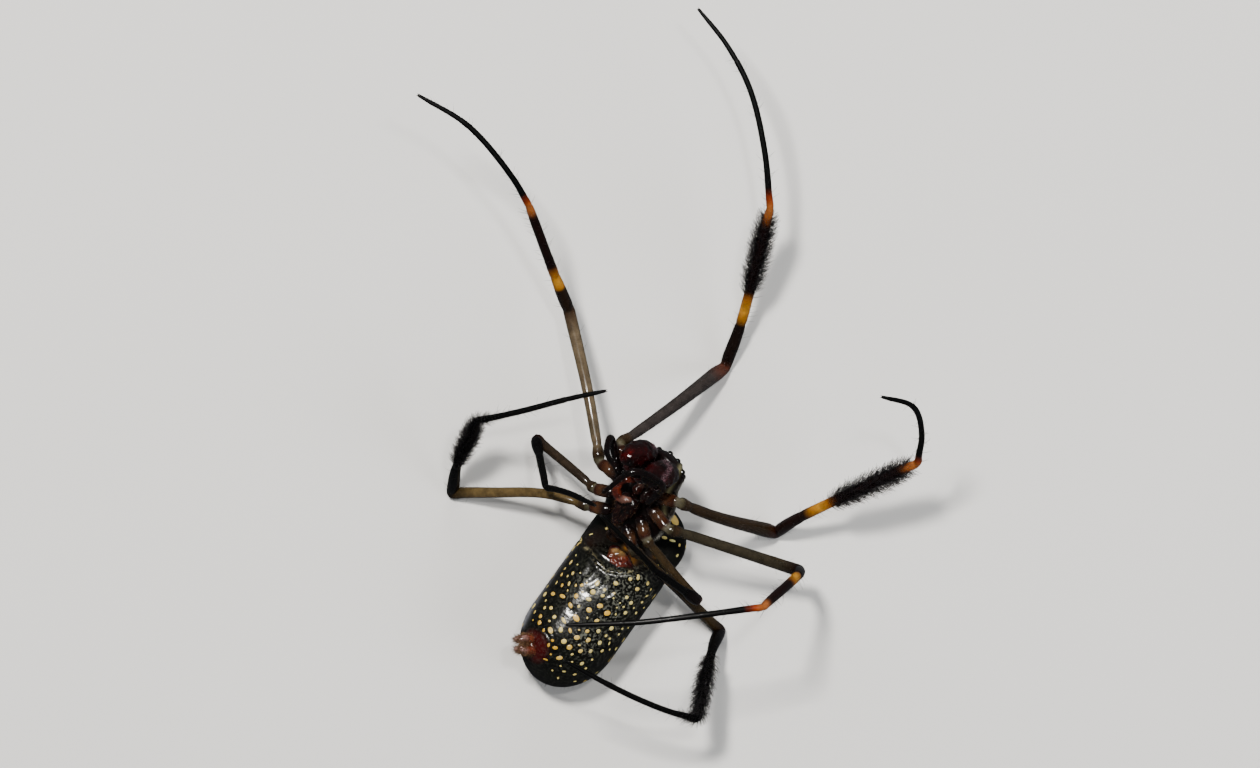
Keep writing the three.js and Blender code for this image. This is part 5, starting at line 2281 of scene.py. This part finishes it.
@dataclass
class Cephalothorax:
    """The fused head and thorax with its eyes, in its own frame: -Z is the back."""

    rear: float = -4.7
    front: float = 5.1
    thorax_middle: float = -1.0
    thorax_half_length: float = 3.75
    thorax_half_width: float = 3.4
    thorax_rise: float = 2.1
    head_middle: float = 2.2
    head_half_length: float = 2.92
    head_half_width: float = 2.25
    head_rise: float = 2.75
    underside: float = 0.3
    eye_radius: float = 0.3
    eyes: tuple[tuple[str, float, float], ...] = (
        ("front_median", 4.86, 64), ("rear_median", 4.35, 67),
        ("front_lateral", 4.45, 16), ("rear_lateral", 3.85, 34),
    )

    def section(self, y: np.ndarray) -> Section:
        """Give the section at places along: the broad thorax and the raised head run together.

        Args:
            y: The places.

        Returns:
            Half width, top, bottom and squareness.
        """
        thorax = bow(y - self.thorax_middle, self.thorax_half_length)
        head = bow(y - self.head_middle, self.head_half_length, 2.5)
        half_width = ((self.thorax_half_width * thorax) ** 4 + (self.head_half_width * head) ** 4) ** 0.25
        rise = ((self.thorax_rise * thorax) ** 4 + (self.head_rise * head) ** 4) ** 0.25
        ends = bow(y - (self.front + self.rear) / 2, (self.front - self.rear) / 2, 4)
        return half_width, self.underside * ends, -rise, 2.1

    def eye_places(self) -> list[tuple[str, np.ndarray]]:
        """Return each eye's name and middle.

        Returns:
            The names and middles.
        """
        places = []
        for name, y, angle in self.eyes:
            half_width, top, bottom, _ = (np.ravel(v)[0] for v in self.section(np.array([y])))
            turn = math.radians(angle)
            height = (top + bottom) / 2 - (top - bottom) / 2 * math.sin(turn)
            middle = np.array([half_width * math.cos(turn), y, height])
            for side, label in ((1, "left"), (-1, "right")):
                places.append((f"eye_{name}_{label}", middle * np.array([side, 1, 1])))
        return places

    def surface(self) -> Surface:
        """Build the shell with head furrows, pit, horns and the rims round its eyes.

        Returns:
            The shell, in its own frame.
        """
        rings, out = body_rings(self.section, self.rear, self.front, 130, 150)
        lift = sum(bump.at(rings) for bump in self.bumps())
        shape = rings.shape
        flat = rings.reshape(-1, 3)
        back = smooth_step(-flat[:, 2], 0.6, 1.6)
        furrow = np.zeros(len(flat))
        for side in (-1, 1):
            path = [(side * 0.25, -0.9), (side * 1.4, 0.5), (side * 2.5, 2.0)]
            furrow = np.maximum(furrow, near_path(flat, path, 0.22))
            for angle in (-35, 5, 45):
                reach = math.radians(angle)
                end = (side * (0.7 + 2.6 * math.cos(reach)), -1.1 - 2.6 * math.sin(reach))
                ray = [(side * 0.7, -1.1), end]
                furrow = np.maximum(furrow, 0.45 * near_path(flat, ray, 0.25))
        for _, middle in self.eye_places():
            away = np.linalg.norm(flat - middle, axis=1)
            furrow = furrow - 0.9 * bell(away - self.eye_radius * 1.25, 0.12)
            furrow = furrow + 1.6 * (away < self.eye_radius) * (1 - away / self.eye_radius)
        lift = lift - (0.16 * furrow * np.maximum(back, (np.abs(furrow) > 0.8) * 1.0)).reshape(shape[:2])
        rings = rings + out * lift[..., None]
        start, end = np.array([0, self.rear, -0.2]), np.array([0, self.front, -0.4])
        made = Surface.loft(rings, start, end)
        self.add_marks(made)
        return made

    @staticmethod
    def bumps() -> list[Bump]:
        """Return the pit in the back, the two small horns and the swelling under the eyes.

        Returns:
            The swellings.
        """
        return [
            Bump((0.0, -1.1, -2.1), (0.5, 0.28, 1.5), -0.45),
            Bump((0.62, 1.2, -2.7), (0.22, 0.22, 1.2), 0.4),
            Bump((-0.62, 1.2, -2.7), (0.22, 0.22, 1.2), 0.4),
            Bump((0.0, 4.5, -1.8), (0.9, 0.7, 1.0), 0.16),
            Bump((2.2, 3.9, -0.7), (0.6, 0.7, 0.7), 0.22),
            Bump((-2.2, 3.9, -0.7), (0.6, 0.7, 0.7), 0.22),
        ]

    def add_marks(self, made: Surface) -> None:
        """Mark the dark and bare places and how the silvery hairs lie.

        Args:
            made: The shell.
        """
        points = made.points
        x, y, z = points.T
        back = smooth_step(-z, 0.5, 1.4)
        around_eyes = sum(
            bell(np.linalg.norm(points - middle, axis=1), 0.5) for _, middle in self.eye_places()
        )
        bare = np.clip(around_eyes + smooth_step(y, 3.6, 4.6), 0, 1)
        made.mark("dark", np.clip(bare + 0.95 * (1 - back), 0, 1))
        made.mark("amber", smooth_step(np.abs(x), 3.2, 4.1) * back * 0.6)
        made.mark("lie", unit(np.stack([0.25 * x, -0.6 - 0.25 * (y + 1.0), 0.0 * z], axis=1)))
        made.groom(back * (1 - 0.95 * bare), 0.75 + 0.25 * smooth_step(y, 3.5, -2))

    def build(self) -> list[Piece]:
        """Build the shell, the eyes and the silvery hair.

        Returns:
            The pieces.
        """
        matrix = FRAMES.prosoma()
        finish = Finish(
            "carapace_shell",
            ground=(srgb(24, 17, 12), srgb(58, 46, 32)),
            patches=(("amber", srgb(96, 62, 34)), ("dark", srgb(30, 8, 10)), ("rim", srgb(150, 144, 108))),
            mottle=900.0, roughness=(0.3, 0.46), grain=5000.0, relief=0.025, coat=0.15, specular=0.3,
        )
        made = self.surface().moved(matrix)
        edge = stroke(made.points, ((681, 466), (676, 477), (669, 490), (665, 500), (664, 514)), 0.22)
        made.mark("rim", 0.7 * edge * smooth_step(made.points[:, 2], 6.0, 8.0))
        shell = made.to_object("carapace", finish.material())
        hairs = Coat(
            "carapace_hairs", shell, SILVER_HAIR, density=85.0, length=0.5, width=0.03,
            stand=0.2, bend=0.25, scatter=0.16, seed=31,
        ).build()
        pieces = [Piece(shell, Region.CARAPACE, ("cephalothorax",)), Piece(hairs, Region.CARAPACE)]
        for name, middle in self.eye_places():
            ball = ellipsoid(middle, np.full(3, self.eye_radius), 24, 32).moved(matrix)
            made = ball.to_object(name.replace("eye_", "lens_"), EYE_FINISH.material())
            pieces.append(Piece(made, Region.EYE, (name,)))
        return pieces


SILVER_HAIR = HairFinish("silver_scale_hair", srgb(128, 124, 114), srgb(206, 204, 196), 0.3)


@dataclass
class Underside:
    """Sternum, lip and the lobes beside the lip, between the coxae."""

    rear: float = -3.0
    widest: float = -0.65
    front: float = 0.45
    half_width: float = 1.1
    bottom: float = 0.75
    top: float = 1.95
    curl: tuple[Pixel, ...] = (
        (633, 480, 10.9), (622, 480, 10.9), (616, 489, 10.7), (620, 498, 10.5), (629, 500, 10.6),
    )
    curl_radii: tuple[float, ...] = (0.24, 0.4, 0.46, 0.44, 0.3)
    # Painted shade: how far the lip and each lobe are darkened, as if in shade; the right lobe not at all.
    painted_shades: dict[str, float] = field(
        default_factory=lambda: {"labium": 0.75, "maxilla_left": 0.85, "maxilla_right": 0.0}
    )

    def section(self, y: np.ndarray) -> Section:
        """Give the sternum's heart-shaped section at places along it.

        Args:
            y: The places.

        Returns:
            Half width, top, bottom and squareness.
        """
        ahead = bow(y - self.widest, self.front - self.widest, 3)
        behind = bow(y - self.widest, self.widest - self.rear, 1.7)
        width = np.where(y > self.widest, ahead, behind)
        middle = (self.top + self.bottom) / 2
        rise = (self.top - self.bottom) / 2 * np.sqrt(width)
        return self.half_width * width, middle + rise, middle - rise, 2.6

    def build(self) -> list[Piece]:
        """Build the plate with its humps, the lip and the two lobes.

        Returns:
            The pieces.
        """
        matrix = FRAMES.prosoma()
        rings, out = body_rings(self.section, self.rear, self.front, 60, 64)
        places = [(side * 0.6, y, 1.9) for side in (-1, 1) for y in (-0.2, -1.2, -2.1)]
        humps = [Bump(place, (0.3, 0.32, 0.8), 0.16) for place in places]
        humps.append(Bump((0.0, 0.1, 1.9), (0.35, 0.3, 0.8), 0.2))
        lift = sum(hump.at(rings) for hump in humps)
        rings = rings + out * lift[..., None]
        middle = (self.top + self.bottom) / 2
        plate = Surface.loft(rings, np.array([0, self.rear, middle]), np.array([0, self.front, middle]))
        plate.groom(smooth_step(plate.points[:, 2], 1.2, 1.6))
        finish = Finish(
            "sternum_shell",
            ground=(srgb(12, 6, 5), srgb(44, 24, 16)),
            mottle=1500.0, roughness=(0.2, 0.34), grain=4500.0, relief=0.03, coat=0.3, specular=0.35,
        )
        sternum = plate.moved(matrix).to_object("sternum_shell", finish.material())
        hairs = Coat(
            "sternum_hairs", sternum, AMBER_HAIR, density=9.0, length=0.42, width=0.02,
            stand=0.55, bend=0.2, scatter=0.3, seed=41,
        ).build()
        pieces = [Piece(sternum, Region.STERNUM, ("sternum",)), Piece(hairs, Region.STERNUM)]
        mouth = Finish(
            "mouth_skin",
            ground=(srgb(44, 15, 10), srgb(112, 46, 30)),
            # The rim tone is the lobes' own pale margin, and on the curled lobe's end a painted highlight.
            patches=(("rim", srgb(150, 112, 98)), ("painted_shade", srgb(30, 15, 12))),
            mottle=1500.0, roughness=(0.14, 0.28), grain=5000.0, relief=0.025, coat=0.7,
        )
        lip = self.lobe(np.array([0, 1.35, 1.45]), np.array([0.5, 0.62, 0.6]), 0).moved(matrix)
        left = self.lobe(np.array([1.22, 1.7, 1.75]), np.array([0.42, 0.98, 0.85]), 1).moved(matrix)
        for made, name, node in (
            (lip, "lip", "labium"),
            (left, "jaw_lobe_left", "maxilla_left"),
            (self.curled_lobe(), "jaw_lobe_right", "maxilla_right"),
        ):
            roughened(made, 0.03, 0.5)
            # Darken each piece with painted shade by its share.
            made.mark("painted_shade", np.full(len(made.points), self.painted_shades[node]))
            piece = made.to_object(name, mouth.material())
            pieces.append(Piece(piece, Region.MOUTH, (node,)))
        return pieces

    def curled_lobe(self) -> Surface:
        """Build the right lobe, which curls round the mouth in the photograph, with a painted highlight at
        its end.

        Returns:
            The lobe.
        """
        made = limb([photo_point(p) for p in self.curl], self.curl_radii, 28, 0.06, 0.1)
        # Painted highlight: a pale patch at the curl's end, on its upward face.
        made.mark("rim", 0.7 * smooth_step(made.marks["place"], 2.7, 3.6) * facing_up(made))
        return made

    @staticmethod
    def lobe(middle: np.ndarray, half_sizes: np.ndarray, side: int) -> Surface:
        """Build a mouth lobe with a paler rim at its front.

        Args:
            middle: Its middle.
            half_sizes: Its half sizes.
            side: Which side its rim faces, nought for none.

        Returns:
            The lobe.
        """
        made = ellipsoid(middle, half_sizes, 40, 48)
        local = (made.points - middle) / half_sizes
        groove = bell(local[:, 1] - 0.45, 0.16) * (local[:, 2] > -0.4)
        made.points -= (0.06 * groove)[:, None] * unit(local)
        made.mark("rim", smooth_step(local[:, 1] - 0.3 * side * local[:, 0], 0.55, 0.85) * 0.8)
        return made


@dataclass
class Chelicerae:
    """Stout wine-red jaws, each with its fang folded inwards, by radius and place."""

    jaw: Stations = (
        (1.17, 1.45, 4.45, 1.2), (1.3, 1.47, 4.65, 2.4), (1.26, 1.45, 4.6, 3.4), (0.94, 1.4, 4.4, 4.25),
    )
    fang: Stations = (
        (0.34, 1.45, 4.05, 4.4), (0.24, 0.85, 3.55, 4.55), (0.14, 0.35, 3.3, 4.3),
    )
    rim: tuple[tuple[float, float], ...] = (
        (654, 444), (659, 450), (666, 462), (670, 467), (668, 473),
        (664, 477), (663, 483), (659, 488), (653, 491),
    )

    def build(self) -> list[Piece]:
        """Build both jaws, fangs and the pale fringe.

        Returns:
            The pieces.
        """
        matrix = FRAMES.prosoma()
        finish = Finish(
            "jaw_shell",
            ground=(srgb(12, 3, 6), srgb(34, 8, 18)),
            patches=(("wine", srgb(58, 10, 24)), ("crimson", srgb(108, 8, 24)), ("rim", srgb(160, 122, 132))),
            mottle=1100.0, depth=0.85, roughness=(0.1, 0.18), grain=1500.0, relief=0.3, coat=0.6,
            specular=0.25,
        )
        pieces = []
        for side, label in ((1, "left"), (-1, "right")):
            made = roughened(self.stem(self.jaw, side, 80, 0.8).moved(matrix), 0.06, 0.8)
            self.add_marks(made)
            jaw = made.to_object(f"jaw_{label}", finish.material())
            pieces.append(Piece(jaw, Region.JAW, (f"chelicera_{label}",)))
            fang = self.stem(self.fang, side, 20, 1.0).moved(matrix)
            pieces.append(Piece(fang.to_object(f"fang_{label}", FANG_FINISH.material()), Region.JAW))
            fringe = Coat(
                f"jaw_fringe_{label}", jaw, FRINGE_HAIR, density=60.0, length=0.7, width=0.026,
                stand=0.6, bend=0.3, scatter=0.3, seed=51 + (side > 0),
            ).build()
            pieces.append(Piece(fringe, Region.JAW))
        return pieces

    @staticmethod
    def stem(stations: Stations, side: int, sides: int, roundness: float) -> Surface:
        """Skin a jaw or fang through its stations, on one side of the head."""
        joints = [np.array([side * x, y, z]) for _, x, y, z in stations]
        return limb(joints, [s[0] for s in stations], sides, 0.07, 0.15, roundness)

    def add_marks(self, made: Surface) -> None:
        """Mark the red patches, and the rim where the pale fringe grows.

        Args:
            made: The jaw's surface.
        """
        points, up = made.points, facing_up(made)
        fringe = stroke(points, self.rim, 0.2) * up
        made.mark("crimson", 0.9 * dabs(points, ((624, 456, 0.34), (630, 453, 0.4), (619, 459, 0.26))) * up)
        wine = ((640, 466, 0.6), (650, 467, 0.6), (646, 455, 0.8), (666, 480, 0.7))
        made.mark("wine", dabs(points, wine) * up)
        made.mark("rim", np.clip(0.75 * fringe * (0.6 + 0.5 * ripple(points, 0.5)), 0, 1))
        inner = dabs(points, ((618, 466, 0.5), (626, 471, 0.5), (634, 474, 0.45)))
        made.groom(np.clip(fringe + 0.35 * inner * up + 0.02, 0, 1), np.clip(0.45 + 0.4 * fringe, 0, 1))


FRINGE_HAIR = HairFinish("jaw_fringe_hair", srgb(84, 52, 58), srgb(212, 186, 192), 0.35)


@dataclass
class Palps:
    """Feelers beside the jaws, black and hairy, by photograph x, y and height."""

    base: tuple[float, float, float] = (2.1, 1.85, 2.75)
    radii: tuple[float, ...] = (0.39, 0.37, 0.3, 0.2)
    waists: Waists = tuple((at, 0.12, 0.05) for at in (0.55, 1.1, 1.7, 2.3))
    joints: dict[str, tuple[Pixel, ...]] = field(
        default_factory=lambda: {
            "left": ((662, 486, 14.6), (634, 471.5, 17.0), (604, 491.5, 15.4)),
            "right": ((611, 438, 11.6), (607, 453, 13.4), (616, 468, 14.6)),
        }
    )

    def build(self) -> list[Piece]:
        """Build both feelers and their hairs.

        Returns:
            The pieces.
        """
        matrix = FRAMES.prosoma()
        finish = Finish(
            "palp_shell",
            ground=(srgb(8, 7, 7), srgb(30, 22, 18)),
            mottle=1500.0, roughness=(0.14, 0.24), grain=6000.0, relief=0.012, coat=0.4, specular=0.25,
        )
        pieces = []
        for side, label in ((1, "left"), (-1, "right")):
            base = placed(matrix, np.array(self.base) * np.array([side, 1, 1]))
            joints = [base, *map(photo_point, self.joints[label])]
            made = limb(joints, self.radii, 20, 0.1, 0.12, waists=self.waists)
            made.groom(0.4 + 0.6 * smooth_step(made.marks["place"], 1.0, 2.6))
            skin = made.to_object(f"palp_skin_{label}", finish.material())
            hairs = Coat(
                f"palp_hairs_{label}", skin, DARK_HAIR, density=17.0, length=0.45, width=0.022,
                stand=0.5, bend=0.25, scatter=0.25, seed=61 + (side > 0),
            ).build()
            pieces += [Piece(skin, Region.FOOT, (f"palp_{label}",)), Piece(hairs, Region.FOOT)]
        return pieces


@dataclass
class Pedicel:
    """The thin waist, from a point inside each half of the body to the other."""

    front: tuple[float, float, float] = (0.0, -3.6, 0.0)
    rear: tuple[float, float, float] = (-2.0, 5.6, 3.9)
    front_radius: float = 0.62
    rear_radius: float = 0.78

    def build(self) -> list[Piece]:
        """Build the waist with its ringed folds.

        Returns:
            The piece.
        """
        front = placed(FRAMES.prosoma(), np.array(self.front))
        rear = placed(FRAMES.abdomen(), np.array(self.rear))
        line = Line.of([(np.array([front, (front + rear) / 2, rear]), [0, 1, 2])], 0.06, 0.1)
        radii = np.interp(line.places, [0, 2], [self.front_radius, self.rear_radius])
        radii = radii * (1 + 0.05 * np.sin(line.places * 24))
        finish = Finish(
            "pedicel_skin",
            ground=(srgb(26, 16, 12), srgb(70, 48, 34)),
            mottle=1500.0, grain=9000.0, coat=0.3,
        )
        made = line.skin(radii, 32).to_object("pedicel_skin", finish.material())
        return [Piece(made, Region.JOINT, ("pedicel",))]


@dataclass
class Studio:
    """Pale floor, soft lights, and the camera straight over the animal."""

    distance: float = 2.0
    focus_height: float = 10.0
    sensor: float = 36.0
    floor_size: float = 3.0

    def build(self) -> None:
        """Build floor, world, lights and camera."""
        self.floor()
        self.world()
        self.lights()
        self.camera()

    def floor(self) -> None:
        """Lay a plain pale floor."""
        half = self.floor_size / 2
        mesh = bpy.data.meshes.new("floor")
        corners = [(-half, -half, 0), (half, -half, 0), (half, half, 0), (-half, half, 0)]
        mesh.from_pydata(corners, [], [(0, 1, 2, 3)])
        material = bpy.data.materials.new("floor_paper")
        material.use_nodes = True
        sketch = Sketch(material.node_tree)
        shader = material.node_tree.nodes["Principled BSDF"]
        color = sketch.mix(sketch.noise(30.0, 3.0), srgb(236, 235, 232), srgb(240, 239, 237))
        sketch.feed(shader.inputs["Base Color"], color)
        shader.inputs["Roughness"].default_value = 0.85
        shader.inputs["Specular IOR Level"].default_value = 0.2
        mesh.materials.append(material)
        made = bpy.data.objects.new("floor", mesh)
        made.visible_glossy = False
        bpy.context.scene.collection.objects.link(made)

    @staticmethod
    def world() -> None:
        """Set a soft even surround."""
        world = bpy.data.worlds.new("studio")
        bpy.context.scene.world = world
        world.use_nodes = True
        background = world.node_tree.nodes["Background"]
        background.inputs["Color"].default_value = (0.93, 0.96, 1.0, 1.0)
        background.inputs["Strength"].default_value = 0.1

    @staticmethod
    def lights() -> None:
        """Hang a bright key light, a small one for sparkle, a broad fill and a rim light."""
        specs = (
            ("key", (-0.13, 0.19, 0.56), 0.08, 5.0, (1.0, 0.97, 0.93)),
            ("spark", (0.1, 0.1, 0.7), 0.045, 1.3, (1.0, 0.99, 0.97)),
            ("fill", (0.55, -0.2, 0.36), 0.45, 2.8, (0.95, 0.97, 1.0)),
            ("rim", (0.05, 0.6, 0.2), 0.3, 1.8, (1.0, 1.0, 1.0)),
        )
        for name, place, size, power, color in specs:
            light = bpy.data.lights.new(name, "AREA")
            light.shape = "DISK"
            light.size = size
            light.energy = power
            light.color = color
            made = bpy.data.objects.new(name, light)
            made.location = place
            made.visible_glossy = name in ("key", "spark")
            aim = Vector((-0.003, -0.008, 0.008)) - made.location
            made.rotation_euler = aim.to_track_quat("-Z", "Y").to_euler()
            bpy.context.scene.collection.objects.link(made)

    def camera(self) -> None:
        """Set the camera straight over the photograph's middle, its top towards +Y."""
        middle = photo_point((PHOTO_SIZE[0] / 2, PHOTO_SIZE[1] / 2, self.focus_height)) * MM
        data = bpy.data.cameras.new("camera")
        data.sensor_fit = "HORIZONTAL"
        data.sensor_width = self.sensor
        width = PHOTO_SIZE[0] / PIXELS_PER_MM * MM
        data.lens = self.sensor * self.distance / width
        data.clip_start, data.clip_end = 0.1, 10.0
        made = bpy.data.objects.new("camera", data)
        made.location = (middle[0], middle[1], middle[2] + self.distance)
        bpy.context.scene.collection.objects.link(made)
        bpy.context.scene.camera = made


class Spider:
    """The whole animal, in the order in which it is built."""

    def parts(self) -> list[object]:
        """Return the sub-assemblies."""
        body = [Abdomen(), Spinnerets(), Pedicel(), Cephalothorax(), Underside(), Chelicerae(), Palps()]
        return body + [Leg(pose) for pose in LEG_POSES]

    def build(self) -> int:
        """Build every part and tie its pieces to the frame.

        Returns:
            How many pieces were made.
        """
        count = 0
        for part in self.parts():
            for piece in part.build():
                piece.settle()
                count += 1
        return count


def main() -> None:
    """Build the studio and the animal, and report each piece."""
    logging.basicConfig(level=logging.INFO, format="%(message)s")
    Studio().build()
    count = Spider().build()
    LOG.info("%d pieces", count)


if __name__ == "__main__":
    main()
